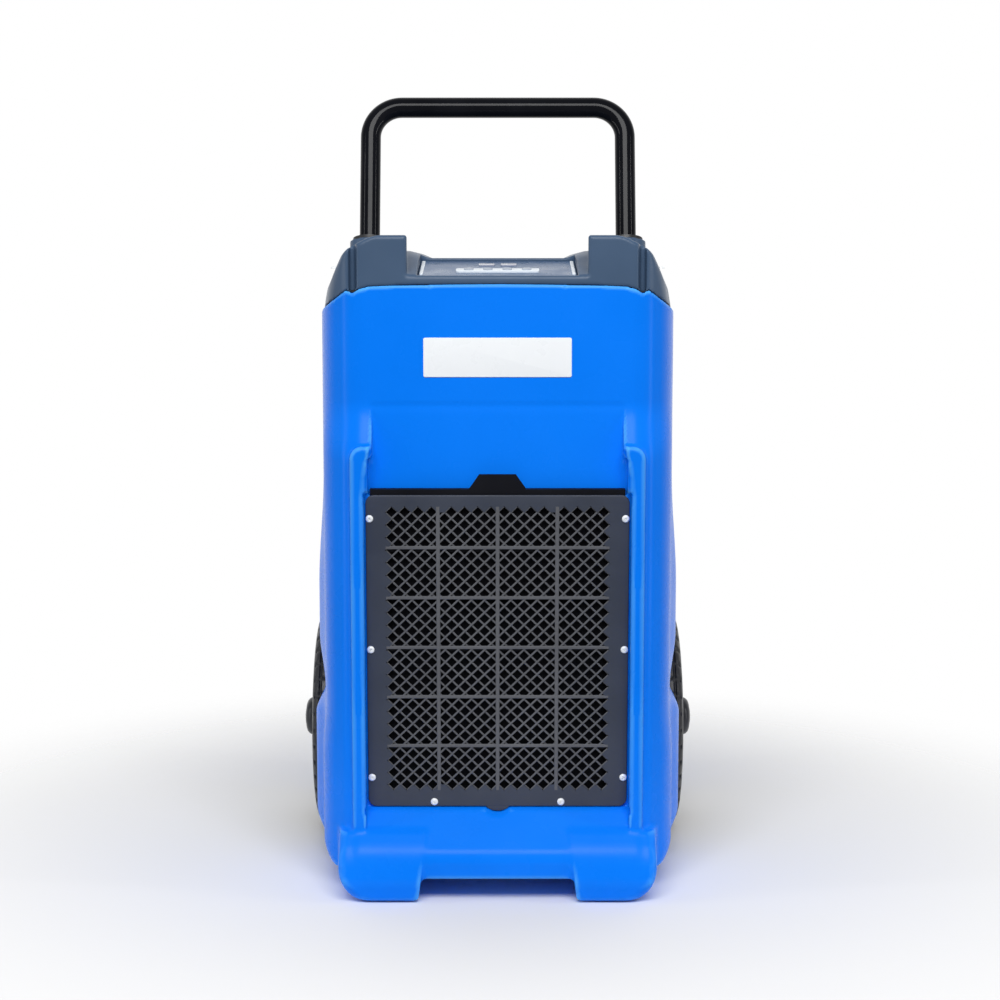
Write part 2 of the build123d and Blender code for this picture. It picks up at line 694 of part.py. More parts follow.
for coil_name, coil_y in COIL_Y.items():
    with BuildPart() as coil:
        with BuildSketch(Plane.XY.offset(COIL_LOW)):
            with Locations((0, coil_y)):
                with GridLocations(FIN_PITCH, 0, FIN_COUNT, 1):
                    Rectangle(FIN_T, COIL_DEPTH)
                with GridLocations(2 * COIL_HALF + 2, 0, 2, 1):
                    Rectangle(2, COIL_DEPTH + 6)
        extrude(amount=COIL_TALL)
        with BuildSketch(Plane.YZ.offset(-COIL_END)):
            with Locations((coil_y, coil_mid)):
                with GridLocations(0, ROW_PITCH, 1, ROWS):
                    Circle(COIL_TUBE_R)
        extrude(amount=2 * COIL_END)
        # return bends, one end offset by a row from the other
        for sign, bends in ((-1, ROWS // 2), (1, ROWS // 2 - 1)):
            with BuildSketch(Plane.YZ.offset(sign * COIL_END)):
                with Locations((coil_y, coil_mid)):
                    with GridLocations(0, 2 * ROW_PITCH, 1, bends):
                        SlotCenterToCenter(ROW_PITCH, 2 * COIL_TUBE_R, rotation=90)
            extrude(amount=sign * 8)
    keep(coil, coil_name)

with BuildPart() as coil_frame:
    with BuildSketch(Plane.XY.offset(SHELF_Z)):
        with Locations(*[(sign * 142, y) for sign in (-1, 1) for y in (-189, -79)]):
            Rectangle(6, 6)
    extrude(amount=COIL_LOW + COIL_TALL + 2 - SHELF_Z)
    with BuildSketch(Plane.XY.offset(COIL_LOW + COIL_TALL + 2)):
        with Locations((0, -134)):
            Rectangle(290, 116)
    extrude(amount=2)
    # cross bars under the drip tray
    with BuildSketch(Plane.XY.offset(96)):
        with Locations((0, -189), (0, -79)):
            Rectangle(290, 6)
        with Locations((0, -134)):
            Rectangle(8, 116)
    extrude(amount=6)
keep(coil_frame, "coil_frame")

with BuildPart() as drip_tray:
    with BuildSketch(Plane.XY.offset(102)):
        with Locations((0, -134)):
            RectangleRounded(274, 114, 8)
    extrude(amount=28)
    with BuildSketch(Plane.XY.offset(104)):
        with Locations((0, -134)):
            RectangleRounded(270, 110, 6)
    extrude(amount=30, mode=Mode.SUBTRACT)
keep(drip_tray, "drip_tray")

with BuildPart() as bulkhead:
    with BuildSketch(Plane.XZ.offset(-BULKHEAD_Y)):
        with Locations((0, SHELF_Z)):
            Rectangle(296, 564, align=(Align.CENTER, Align.MIN))
        with Locations((0, FAN_Z)):
            Circle(105, mode=Mode.SUBTRACT)
    extrude(amount=-1.5)
keep(bulkhead, "bulkhead")

# ---- fan and duct ----
FAN_FRONT, MOTOR_R, MOTOR_BACK, SHAFT_R = 125.0, 42.0, 182.0, 5.0
BLADES, HUB_FAN_R, BLADE_TIP = 5, 38.0, 116.0
fan_centre = Location((0, 202, FAN_Z))

with BuildPart() as fan_ring:
    with BuildSketch(Plane.XZ.offset(-FAN_FRONT)):
        with Locations((0, FAN_Z)):
            Circle(FAN_R)
            Circle(FAN_R - 4, mode=Mode.SUBTRACT)
    extrude(amount=-(BODY_BACK - WALL - FAN_FRONT))
keep(fan_ring, "fan_ring")

with BuildPart() as motor_bracket:
    with BuildSketch(Plane.XZ.offset(-FAN_FRONT - 4)):
        with Locations((0, FAN_Z)):
            Circle(MOTOR_R + 8)
            with PolarLocations(70, 3, 90):
                Rectangle(120, 14)
            Circle(FAN_R - 4.05, mode=Mode.INTERSECT)
            Circle(MOTOR_R + 0.02, mode=Mode.SUBTRACT)
    extrude(amount=-4)
keep(motor_bracket, "motor_bracket")

with BuildPart() as fan_motor:
    with BuildSketch(Plane.XZ.offset(-110)):
        with Locations((0, FAN_Z)):
            Circle(MOTOR_R)
    extrude(amount=-(MOTOR_BACK - 110))
    fillet(fan_motor.edges().filter_by(GeomType.CIRCLE), 5)
    with BuildSketch(Plane.XZ.offset(-MOTOR_BACK)):
        with Locations((0, FAN_Z)):
            Circle(SHAFT_R + 0.06)
    extrude(amount=40, mode=Mode.SUBTRACT)
keep(fan_motor, "fan_motor")

with BuildPart() as blade:
    with BuildSketch(Plane.XY.offset(HUB_FAN_R - 4)):
        Rectangle(46, 3, rotation=38)
    with BuildSketch(Plane.XY.offset(BLADE_TIP)):
        Rectangle(62, 2.4, rotation=24)
    loft()

with BuildPart() as fan_impeller:
    for turn in range(BLADES):
        add(blade.part.rotate(Axis.Y, turn * 360 / BLADES).moved(fan_centre))
    with BuildSketch(Plane.XZ.offset(-MOTOR_BACK - 4)):
        with Locations((0, FAN_Z)):
            Circle(HUB_FAN_R)
    extrude(amount=-36)
    with BuildSketch(Plane.XZ.offset(-MOTOR_BACK + 36)):
        with Locations((0, FAN_Z)):
            Circle(SHAFT_R)
    extrude(amount=-45)
keep(fan_impeller, "fan_impeller")

with BuildPart() as duct_collar:
    with BuildSketch(Plane.XZ.offset(-BODY_BACK)):
        with Locations((0, FAN_Z)):
            Circle(COLLAR_R + 14)
            Circle(COLLAR_R - 6, mode=Mode.SUBTRACT)
    extrude(amount=-3)
    with BuildSketch(Plane.XZ.offset(-BODY_BACK)):
        with Locations((0, FAN_Z)):
            Circle(COLLAR_R)
            Circle(COLLAR_R - 6, mode=Mode.SUBTRACT)
    extrude(amount=-(BACK - BODY_BACK))
keep(duct_collar, "duct_collar")

with BuildPart() as outlet_guard:
    with BuildSketch(Plane.XZ.offset(-BODY_BACK - 20)):
        with Locations((0, FAN_Z)):
            for ring_r in range(22, 118, 16):
                Circle(ring_r)
                Circle(ring_r - 3, mode=Mode.SUBTRACT)
            with PolarLocations(0, 4):
                Rectangle(2 * (COLLAR_R - 2), 3)
            Circle(COLLAR_R - 6.02, mode=Mode.INTERSECT)
    extrude(amount=-3)
keep(outlet_guard, "outlet_guard")

# ---- compressor and its pipes ----
COMP_X, COMP_Y, COMP_R, COMP_LOW, COMP_TOP, COMP_WALL = -70.0, 25.0, 65.0, 51.0, 250.0, 14.0
ACC_X, ACC_R, ACC_LOW, ACC_TOP = 24.0, 24.0, 80.0, 210.0
GROMMET_RING, GROMMET_TALL = 72.0, 12.0
PIPE_R = 5.0


def drum(radius, low, high, corner, wall=0.0):
    """A standing vessel with rounded ends at the origin's axis, hollow where a wall is given."""
    with BuildPart() as vessel:
        with BuildSketch(Plane.XY.offset(low)):
            Circle(radius)
        extrude(amount=high - low)
        fillet(vessel.edges().filter_by(GeomType.CIRCLE), corner)
        if wall:
            with BuildSketch(Plane.XY.offset(low + wall)):
                Circle(radius - wall)
            extrude(amount=high - low - 2 * wall, mode=Mode.SUBTRACT)
    return vessel.part


with BuildPart() as compressor:
    add(drum(COMP_R, COMP_LOW, COMP_TOP, 20, COMP_WALL).moved(Location((COMP_X, COMP_Y, 0))))
    with BuildSketch(Plane.XY.offset(COMP_LOW - 3)):
        with Locations((COMP_X, COMP_Y)):
            Circle(60)
            with PolarLocations(GROMMET_RING, 3, 90):
                Circle(14)
    extrude(amount=3.5)
keep(compressor, "compressor")

with BuildPart() as compressor_grommets:
    with BuildSketch(Plane.XY.offset(SHELF_Z)):
        with Locations((COMP_X, COMP_Y)):
            with PolarLocations(GROMMET_RING, 3, 90):
                Circle(12)
    extrude(amount=GROMMET_TALL)
keep(compressor_grommets, "compressor_grommets")

with BuildPart() as accumulator:
    add(drum(ACC_R, ACC_LOW, ACC_TOP, 14, 6).moved(Location((ACC_X, COMP_Y, 0))))
    elbow = [(ACC_X, COMP_Y, ACC_LOW + 1), (ACC_X, COMP_Y, 64), (COMP_X + COMP_R + 0.2, COMP_Y, 64)]
    add(tube_along(elbow, 8, 4))
keep(accumulator, "accumulator")

PIPES = {
    "suction_line": [
        (COIL_END, -168, line_high),
        (178, -168, line_high),
        (178, -5, line_high),
        (178, -5, 300),
        (ACC_X, COMP_Y, 300),
        (ACC_X, COMP_Y, ACC_TOP),
    ],
    "discharge_line": [
        (COMP_X, COMP_Y, COMP_TOP),
        (COMP_X, COMP_Y, 330),
        (158, -30, 330),
        (158, -30, line_high),
        (158, -102, line_high),
        (COIL_END, -102, line_high),
    ],
}
for pipe_name, pipe_points in PIPES.items():
    with BuildPart() as pipe:
        add(tube_along(pipe_points, 12, PIPE_R))
    keep(pipe, pipe_name)

DRIER_X, DRIER_Y, DRIER_LOW, DRIER_TOP = 172.0, -135.0, 195.0, 280.0
with BuildPart() as liquid_line:
    to_drier = [
        (COIL_END, -102, line_low),
        (DRIER_X, -102, line_low),
        (DRIER_X, DRIER_Y, line_low),
        (DRIER_X, DRIER_Y, DRIER_LOW),
    ]
    from_drier = [
        (DRIER_X, DRIER_Y, DRIER_TOP),
        (DRIER_X, DRIER_Y, 310),
        (DRIER_X, -168, 310),
        (DRIER_X, -168, line_low),
        (COIL_END, -168, line_low),
    ]
    add(tube_along(to_drier, 10, PIPE_R))
    add(tube_along(from_drier, 10, PIPE_R))
keep(liquid_line, "liquid_line")

with BuildPart() as filter_drier:
    add(drum(13, DRIER_LOW, DRIER_TOP, 6).moved(Location((DRIER_X, DRIER_Y, 0))))
keep(filter_drier, "filter_drier")

# ---- condensate pump, drain and electrics ----
DRAIN_X, DRAIN_Z, INLET_X, INLET_Z = 70.0, 100.0, -70.0, 120.0
with BuildPart() as condensate_pump:
    with BuildSketch(Plane.XY.offset(SHELF_Z)):
        with Locations((110, 55)):
            RectangleRounded(90, 86, 8)
    extrude(amount=68)
    with BuildSketch(Plane.XY.offset(SHELF_Z + 3)):
        with Locations((110, 55)):
            RectangleRounded(84, 80, 5)
    extrude(amount=62, mode=Mode.SUBTRACT)
    with BuildSketch(Plane.XY.offset(SHELF_Z + 68)):
        with Locations((110, 55)):
            Circle(25)
    extrude(amount=20)
keep(condensate_pump, "condensate_pump")

with BuildPart() as pump_hose:
    add(tube_along([(95, 98, 70), (95, 160, 70), (DRAIN_X, 200, DRAIN_Z), (DRAIN_X, 231, DRAIN_Z)], 14, 5))
keep(pump_hose, "pump_hose")

with BuildPart() as drain_outlet:
    with BuildSketch(Plane.XZ.offset(-BODY_BACK + WALL + 4)):
        with Locations((DRAIN_X, DRAIN_Z)):
            Circle(13)
    extrude(amount=-4)
    with BuildSketch(Plane.XZ.offset(-BODY_BACK + WALL)):
        with Locations((DRAIN_X, DRAIN_Z)):
            Circle(8.9)
    extrude(amount=-WALL)
    with BuildSketch(Plane.XZ.offset(-BODY_BACK)):
        with Locations((DRAIN_X, DRAIN_Z)):
            Circle(13)
    extrude(amount=-3)
    with BuildSketch(Plane.XZ.offset(-BODY_BACK - 3)):
        with Locations((DRAIN_X, DRAIN_Z)):
            Circle(7)
    extrude(amount=-19)
    with BuildSketch(Plane.XZ.offset(-BODY_BACK - 22)):
        with Locations((DRAIN_X, DRAIN_Z)):
            Circle(4.5)
    extrude(amount=24, mode=Mode.SUBTRACT)
keep(drain_outlet, "drain_outlet")

with BuildPart() as power_inlet:
    with BuildSketch(Plane.XZ.offset(-BODY_BACK + 26)):
        with Locations((INLET_X, INLET_Z)):
            Rectangle(49, 31)
    extrude(amount=-26)
    with BuildSketch(Plane.XZ.offset(-BODY_BACK)):
        with Locations((INLET_X, INLET_Z)):
            RectangleRounded(66, 48, 5)
    extrude(amount=-3)
    with BuildSketch(Plane.XZ.offset(-BODY_BACK - 3)):
        with Locations((INLET_X, INLET_Z)):
            RectangleRounded(28, 20, 3)
    extrude(amount=20, mode=Mode.SUBTRACT)
    with BuildSketch(Plane.XZ.offset(-BODY_BACK + 17)):
        with Locations((INLET_X - 7, INLET_Z - 2), (INLET_X, INLET_Z + 2), (INLET_X + 7, INLET_Z - 2)):
            Rectangle(2, 4)
    extrude(amount=-11)
keep(power_inlet, "power_inlet")

BOX_X, BOX_Y, BOX_LOW, BOX_TALL = -BODY_HALF + WALL, 37.0, 350.0, 155.0
with BuildPart() as electronics_box:
    with BuildSketch(Plane.YZ.offset(BOX_X)):
        with Locations((BOX_Y, BOX_LOW + BOX_TALL / 2)):
            RectangleRounded(135, BOX_TALL, 5)
    extrude(amount=46)
    with BuildSketch(Plane.YZ.offset(BOX_X + 2)):
        with Locations((BOX_Y, BOX_LOW + BOX_TALL / 2)):
            RectangleRounded(131, BOX_TALL - 4, 3)
    extrude(amount=46, mode=Mode.SUBTRACT)
keep(electronics_box, "electronics_box")

with BuildPart() as control_board:
    with BuildSketch(Plane.YZ.offset(BOX_X + 2)):
        with Locations((BOX_Y - 25, BOX_LOW + BOX_TALL / 2)):
            Rectangle(70, 120)
    extrude(amount=1.6)
    with BuildSketch(Plane.YZ.offset(BOX_X + 3.6)):
        with Locations((BOX_Y - 25, BOX_LOW + BOX_TALL / 2)):
            with GridLocations(36, 44, 2, 2):
                Rectangle(22, 28)
    extrude(amount=18)
keep(control_board, "control_board")

with BuildPart() as run_capacitor:
    add(drum(18, BOX_LOW + 2, BOX_LOW + 82, 3).moved(Location((BOX_X + 24, BOX_Y + 40, 0))))
keep(run_capacitor, "run_capacitor")
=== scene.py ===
import json
from functools import reduce
from math import cos, hypot, pi, radians, sin, sqrt

import bpy
import numpy as np
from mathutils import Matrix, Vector
from mathutils.geometry import tessellate_polygon


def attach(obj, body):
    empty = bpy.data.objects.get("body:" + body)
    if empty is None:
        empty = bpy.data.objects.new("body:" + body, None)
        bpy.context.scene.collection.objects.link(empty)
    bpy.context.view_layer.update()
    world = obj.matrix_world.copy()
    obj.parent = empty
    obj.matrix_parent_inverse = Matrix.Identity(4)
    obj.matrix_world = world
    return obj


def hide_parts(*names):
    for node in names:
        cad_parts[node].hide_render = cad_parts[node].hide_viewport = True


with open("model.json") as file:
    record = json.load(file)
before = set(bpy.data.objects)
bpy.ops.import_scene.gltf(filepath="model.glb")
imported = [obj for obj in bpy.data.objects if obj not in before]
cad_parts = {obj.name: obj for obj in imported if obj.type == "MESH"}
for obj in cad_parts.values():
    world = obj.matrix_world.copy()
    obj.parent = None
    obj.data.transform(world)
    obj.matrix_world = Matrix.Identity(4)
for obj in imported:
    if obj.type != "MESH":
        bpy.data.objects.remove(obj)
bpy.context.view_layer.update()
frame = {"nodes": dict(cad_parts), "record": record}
MM = 0.001


# ---------------------------------------------------------------- materials
def new_material(name):
    """An empty node material with its principled shader."""
    material = bpy.data.materials.new(name)
    material.use_nodes = True
    nodes = material.node_tree.nodes
    return material, nodes, material.node_tree.links, nodes["Principled BSDF"]


def noise_node(nodes, links, scale, detail=3.0, rough=0.5, stretch=(1, 1, 1)):
    """Object-space noise, stretched along the axes by the given factors."""
    place = nodes.new("ShaderNodeTexCoord")
    mapping = nodes.new("ShaderNodeMapping")
    mapping.inputs["Scale"].default_value = stretch
    noise = nodes.new("ShaderNodeTexNoise")
    noise.inputs["Scale"].default_value = scale
    noise.inputs["Detail"].default_value = detail
    noise.inputs["Roughness"].default_value = rough
    links.new(place.outputs["Object"], mapping.inputs["Vector"])
    links.new(mapping.outputs["Vector"], noise.inputs["Vector"])
    return noise


def ramp_node(nodes, links, source, low, high, at=(0.3, 0.7)):
    """A two-stop colour ramp fed by a noise's factor."""
    ramp = nodes.new("ShaderNodeValToRGB")
    ramp.color_ramp.elements[0].position = at[0]
    ramp.color_ramp.elements[1].position = at[1]
    ramp.color_ramp.elements[0].color = (*low, 1)
    ramp.color_ramp.elements[1].color = (*high, 1)
    links.new(source, ramp.inputs["Fac"])
    return ramp


def surface(name, colour, rough=0.4, metal=0.0, vary=0.08, grain=900.0, bump=0.1, coat=0.0,
            rough_spread=0.08, stretch=(1, 1, 1), blotch=14.0, bump_depth=0.0002, specular=0.5):
    """A finish with mottled colour, uneven gloss and a fine moulded, cast or brushed grain."""
    material, nodes, links, shader = new_material(name)
    broad = noise_node(nodes, links, blotch, 4.0)
    darker = [c * (1 - vary) for c in colour]
    lighter = [min(1.0, c * (1 + vary) + 0.002) for c in colour]
    tint = ramp_node(nodes, links, broad.outputs["Fac"], darker, lighter)
    links.new(tint.outputs["Color"], shader.inputs["Base Color"])
    fine = noise_node(nodes, links, grain, 2.0, 0.6, stretch)
    spread = nodes.new("ShaderNodeMapRange")
    spread.inputs["From Min"].default_value = 0.3
    spread.inputs["From Max"].default_value = 0.7
    spread.inputs["To Min"].default_value = max(0.02, rough - rough_spread)
    spread.inputs["To Max"].default_value = min(1.0, rough + rough_spread)
    smear = noise_node(nodes, links, blotch * 3.1, 5.0)
    links.new(smear.outputs["Fac"], spread.inputs["Value"])
    links.new(spread.outputs["Result"], shader.inputs["Roughness"])
    relief = nodes.new("ShaderNodeBump")
    relief.inputs["Strength"].default_value = bump
    relief.inputs["Distance"].default_value = bump_depth
    links.new(fine.outputs["Fac"], relief.inputs["Height"])
    links.new(relief.outputs["Normal"], shader.inputs["Normal"])
    shader.inputs["Metallic"].default_value = metal
    shader.inputs["Coat Weight"].default_value = coat
    shader.inputs["Coat Roughness"].default_value = 0.08
    shader.inputs["Specular IOR Level"].default_value = specular
    return material


BLUE = (0.001, 0.2, 0.95)
M = {
    "blue_shell": surface("moulded_blue", BLUE, 0.27, vary=0.03, grain=420, bump=0.06, rough_spread=0.03,
                          blotch=6, specular=0.08),
    "grey_cover": surface("moulded_slate", (0.057, 0.099, 0.172), 0.36, vary=0.06, grain=520, bump=0.12,
                          rough_spread=0.05, blotch=8, specular=0.25),
    "seal_rubber": surface("seal_rubber", (0.016, 0.016, 0.017), 0.75, grain=700, bump=0.2),
    "zinc_screw": surface("bright_zinc", (0.93, 0.96, 0.98), 0.35, 0.15, 0.02, 1600, 0.03),
    "grille_black": surface("grille_plastic", (0.036, 0.045, 0.07), 0.46, vary=0.08, grain=1100,
                            bump=0.12),
    "filter_plastic": surface("filter_plastic", (0.006, 0.0065, 0.01), 0.5, grain=900, bump=0.1,
                              specular=0.1),
    "plate_white": surface("plate_white", (0.9, 0.93, 0.96), 0.3, vary=0.004, grain=600, bump=0.02, coat=0.2),
    "panel_film": surface("panel_film", (0.075, 0.14, 0.27), 0.3, vary=0.02, grain=1500, bump=0.02),
    "bezel_white": surface("bezel_white", (0.8, 0.86, 0.92), 0.34, vary=0.03, grain=900, bump=0.06),
    "button_grey": surface("button_grey", (0.42, 0.47, 0.55), 0.4, vary=0.05, grain=800, bump=0.12),
    "display_lens": surface("display_lens", (0.4, 0.42, 0.5), 0.12, vary=0.04, grain=500, bump=0.03,
                            coat=0.5),
    "circuit_board": surface("circuit_board", (0.01, 0.09, 0.035), 0.4, vary=0.2, grain=300, bump=0.3),
    "handle_black": surface("handle_gloss", (0.004, 0.0045, 0.007), 0.1, vary=0.2, grain=260, bump=0.006,
                            rough_spread=0.03, specular=0.14),
    "nylon_black": surface("nylon_black", (0.014, 0.015, 0.018), 0.45, grain=900, bump=0.15),
    "zinc_steel": surface("zinc_steel", (0.56, 0.58, 0.6), 0.34, 1.0, 0.1, 500, 0.15, stretch=(1, 1, 6)),
    "tyre_rubber": surface("tyre_rubber", (0.012, 0.013, 0.018), 0.42, vary=0.2, grain=650, bump=0.3,
                           rough_spread=0.12),
    "rim_black": surface("rim_plastic", (0.017, 0.019, 0.026), 0.36, vary=0.1, grain=900, bump=0.12),
    "bush_nylon": surface("bush_nylon", (0.55, 0.52, 0.44), 0.5, grain=900, bump=0.1),
    "coil_aluminium": surface("coil_aluminium", (0.7, 0.71, 0.74), 0.35, 1.0, 0.12, 800, 0.2),
    "galvanised": surface("galvanised", (0.5, 0.52, 0.55), 0.42, 1.0, 0.25, 90, 0.1, blotch=60),
    "tray_abs": surface("tray_abs", (0.1, 0.1, 0.11), 0.5, grain=800, bump=0.2),
    "compressor_black": surface("compressor_black", (0.01, 0.01, 0.011), 0.35, grain=400, bump=0.25,
                                coat=0.2),
    "copper_pipe": surface("copper_pipe", (0.75, 0.36, 0.2), 0.3, 1.0, 0.2, 300, 0.12, blotch=40),
    "hose_clear": surface("hose_clear", (0.5, 0.52, 0.5), 0.3, grain=400, bump=0.05),
}


def net_material():
    """Woven nylon net: two sets of fine threads over black."""
    material, nodes, links, shader = new_material("filter_net")
    place = nodes.new("ShaderNodeTexCoord")
    total = None
    for direction in ("X", "Z"):
        wave = nodes.new("ShaderNodeTexWave")
        wave.bands_direction = direction
        wave.inputs["Scale"].default_value = 160
        links.new(place.outputs["Object"], wave.inputs["Vector"])
        if total is None:
            total = wave.outputs["Fac"]
        else:
            most = nodes.new("ShaderNodeMath")
            most.operation = "MAXIMUM"
            links.new(total, most.inputs[0])
            links.new(wave.outputs["Fac"], most.inputs[1])
            total = most.outputs[0]
    tint = ramp_node(nodes, links, total, (0.001, 0.001, 0.0015), (0.006, 0.0065, 0.009), (0.5, 0.9))
    links.new(tint.outputs["Color"], shader.inputs["Base Color"])
    relief = nodes.new("ShaderNodeBump")
    relief.inputs["Strength"].default_value = 0.5
    relief.inputs["Distance"].default_value = 0.0004
    links.new(total, relief.inputs["Height"])
    links.new(relief.outputs["Normal"], shader.inputs["Normal"])
    shader.inputs["Roughness"].default_value = 0.7
    shader.inputs["Specular IOR Level"].default_value = 0.05
    return material


def paint_edge_highlights(material, colour):
    """Paler colour painted where the moulding turns over a sharp edge: a painted highlight on the convex
    edges.
    """
    nodes, links = material.node_tree.nodes, material.node_tree.links
    base = nodes["Principled BSDF"].inputs["Base Color"]
    shape = nodes.new("ShaderNodeNewGeometry")
    fade = nodes.new("ShaderNodeMapRange")
    fade.inputs["From Min"].default_value = 0.512
    fade.inputs["From Max"].default_value = 0.56
    fade.inputs["To Max"].default_value = 0.8
    blend = nodes.new("ShaderNodeMix")
    blend.data_type = "RGBA"
    blend.inputs[7].default_value = (*colour, 1)
    links.new(shape.outputs["Pointiness"], fade.inputs["Value"])
    links.new(fade.outputs["Result"], blend.inputs[0])
    links.new(base.links[0].from_socket, blend.inputs[6])
    links.new(blend.outputs[2], base)


# painted highlight: a paler blue mixed into the shell's colour along its convex edges
paint_edge_highlights(M["blue_shell"], (0.1, 0.46, 1.0))
M["filter_net"] = net_material()
slot_of = {part["node"]: part["material_slot"] for part in frame["record"]["subparts"]}
for node_name, node in frame["nodes"].items():
    node.data.materials.clear()
    node.data.materials.append(M[slot_of[node_name]])


# ---------------------------------------------------------------- mesh helpers
def add_mesh(name, verts, faces, slot, body="housing", smooth=True, replaces=(), sharp=30):
    """A finished piece: mesh in millimetres, its finish, and the body it rides on."""
    mesh = bpy.data.meshes.new(name)
    mesh.from_pydata([tuple(v) for v in np.asarray(verts, float) * MM], [], [tuple(f) for f in faces])
    mesh.validate()
    piece = bpy.data.objects.new(name, mesh)
    bpy.context.scene.collection.objects.link(piece)
    mesh.materials.append(M[slot])
    if smooth:
        mesh.shade_smooth()
        if sharp:
            mesh.set_sharp_from_angle(angle=radians(sharp))
    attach(piece, body)
    if replaces:
        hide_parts(*replaces)
    return piece


def ring_faces(rows, around, closed=True):
    """Quads between successive rows of `around` points."""
    faces = []
    for r in range(rows - 1):
        for a in range(around if closed else around - 1):
            b = (a + 1) % around
            faces.append((r * around + a, r * around + b, (r + 1) * around + b, (r + 1) * around + a))
    return faces


def turned_faces(segments, count, flip=False):
    """Quads between successive copies of a closed section of `count` points, round a full turn."""
    faces = []
    for n in range(segments):
        m = (n + 1) % segments
        for k in range(count):
            j = (k + 1) % count
            face = (n * count + k, n * count + j, m * count + j, m * count + k)
            faces.append(face[::-1] if flip else face)
    return faces


# ---------------------------------------------------------------- rounded solids from distance fields
def round_max(a, b, r):
    """Intersection of two solids with its outer edge rounded to radius r."""
    return np.minimum(-r, np.maximum(a, b)) + np.hypot(np.maximum(a + r, 0), np.maximum(b + r, 0))


def round_min(a, b, r):
    """Union of two solids with its inner corner rounded to radius r."""
    return np.maximum(r, np.minimum(a, b)) - np.hypot(np.maximum(r - a, 0), np.maximum(r - b, 0))


def cut(a, b, r):
    """Solid a without solid b, with rounded lips."""
    return round_max(a, -b, r)


def both(*solids):
    """What all the solids share, with sharp edges."""
    return reduce(np.maximum, solids)


def either(*solids):
    """All the solids together, with sharp corners."""
    return reduce(np.minimum, solids)


def between(v, low, high):
    """A slab from low to high."""
    return np.maximum(low - v, v - high)


def bevel_cut(a, b, r):
    """Solid a without solid b, with flat bevelled lips."""
    return both(a, -b, (a - b + r) / sqrt(2))


def smooth_step(t):
    t = np.clip(t, 0, 1)
    return t * t * (3 - 2 * t)


def crossing_cells(value, step, start):
    """Grid cells that the surface passes through: their index grid, and a point of each near the surface."""
    inside = value < 0
    count = np.zeros([n - 1 for n in value.shape], np.uint8)
    corners = [(i, j, k) for i in (0, 1) for j in (0, 1) for k in (0, 1)]
    size = count.shape
    for i, j, k in corners:
        count += inside[i:i + size[0], j:j + size[1], k:k + size[2]]
    cells = np.argwhere((count > 0) & (count < 8))
    index = -np.ones(size, np.int64)
    index[tuple(cells.T)] = np.arange(len(cells))
    # each vertex is the mean of the points where its cell's edges cross the surface
    total = np.zeros((len(cells), 3))
    hits = np.zeros(len(cells))
    for low in corners:
        for axis in range(3):
            if low[axis]:
                continue
            high = list(low)
            high[axis] = 1
            at_low = value[tuple((cells + low).T)].astype(float)
            at_high = value[tuple((cells + high).T)].astype(float)
            crossing = (at_low < 0) != (at_high < 0)
            part_way = np.where(crossing, at_low / np.where(crossing, at_low - at_high, 1), 0)
            spot = np.tile(np.array(low, float), (len(cells), 1))
            spot[:, axis] = part_way
            total += spot * crossing[:, None]
            hits += crossing
    return index, start + (cells + total / hits[:, None]) * step


def pulled(verts, field, step, probe=0.05, rounds=4):
    """Vertices moved onto the exact zero surface by Newton steps, each staying near its own cell."""
    home = verts.copy()

    def at(points):
        return field(points[:, 0], points[:, 1], points[:, 2])

    for _ in range(rounds):
        here = at(verts)
        slope = np.stack(
            [(at(verts + probe * axis) - at(verts - probe * axis)) / (2 * probe) for axis in np.eye(3)], 1)
        strength = np.maximum((slope ** 2).sum(1), 0.2)
        verts = verts - (here / strength)[:, None] * slope
        verts = home + np.clip(verts - home, -0.7 * step, 0.7 * step)
    return verts


def cell_quads(inside, index):
    """One quad round every grid edge that crosses the surface, facing outwards."""
    size = index.shape
    quads = []
    for axis in range(3):
        u, v = [n for n in range(3) if n != axis]
        ahead = np.take(inside, range(1, inside.shape[axis]), axis)
        behind = np.take(inside, range(inside.shape[axis] - 1), axis)
        edges = np.argwhere(ahead != behind)
        ok = (edges[:, u] > 0) & (edges[:, v] > 0)
        ok &= (edges[:, u] < size[u]) & (edges[:, v] < size[v])
        edges = edges[ok]
        flip = ahead[tuple(edges.T)]
        if axis == 1:
            flip = ~flip
        ring = []
        for du, dv in ((-1, -1), (0, -1), (0, 0), (-1, 0)):
            cell = edges.copy()
            cell[:, u] += du
            cell[:, v] += dv
            ring.append(index[tuple(cell.T)])
        quad = np.stack(ring, 1)
        quad[flip] = quad[flip][:, ::-1]
        quads.append(quad)
    return np.concatenate(quads)


def net_surface(field, low, high, step):
    """Quad mesh of the zero surface of field(x, y, z), by surface nets, pulled onto the exact surface."""
    axes = [np.arange(a, b + step, step, dtype=np.float32) for a, b in zip(low, high)]
    x, y, z = np.meshgrid(*axes, indexing="ij", sparse=True)
    value = field(x, y, z).astype(np.float32)
    start = np.array([axis[0] for axis in axes], float)
    index, verts = crossing_cells(value, step, start)
    return pulled(verts, field, step), cell_quads(value < 0, index)


def half_space(u, v, a, b):
    """Signed distance from the line a-b in the (u, v) plane; the left side of a-b is inside."""
    du, dv = b[0] - a[0], b[1] - a[1]
    return ((u - a[0]) * dv - (v - a[1]) * du) / hypot(du, dv)


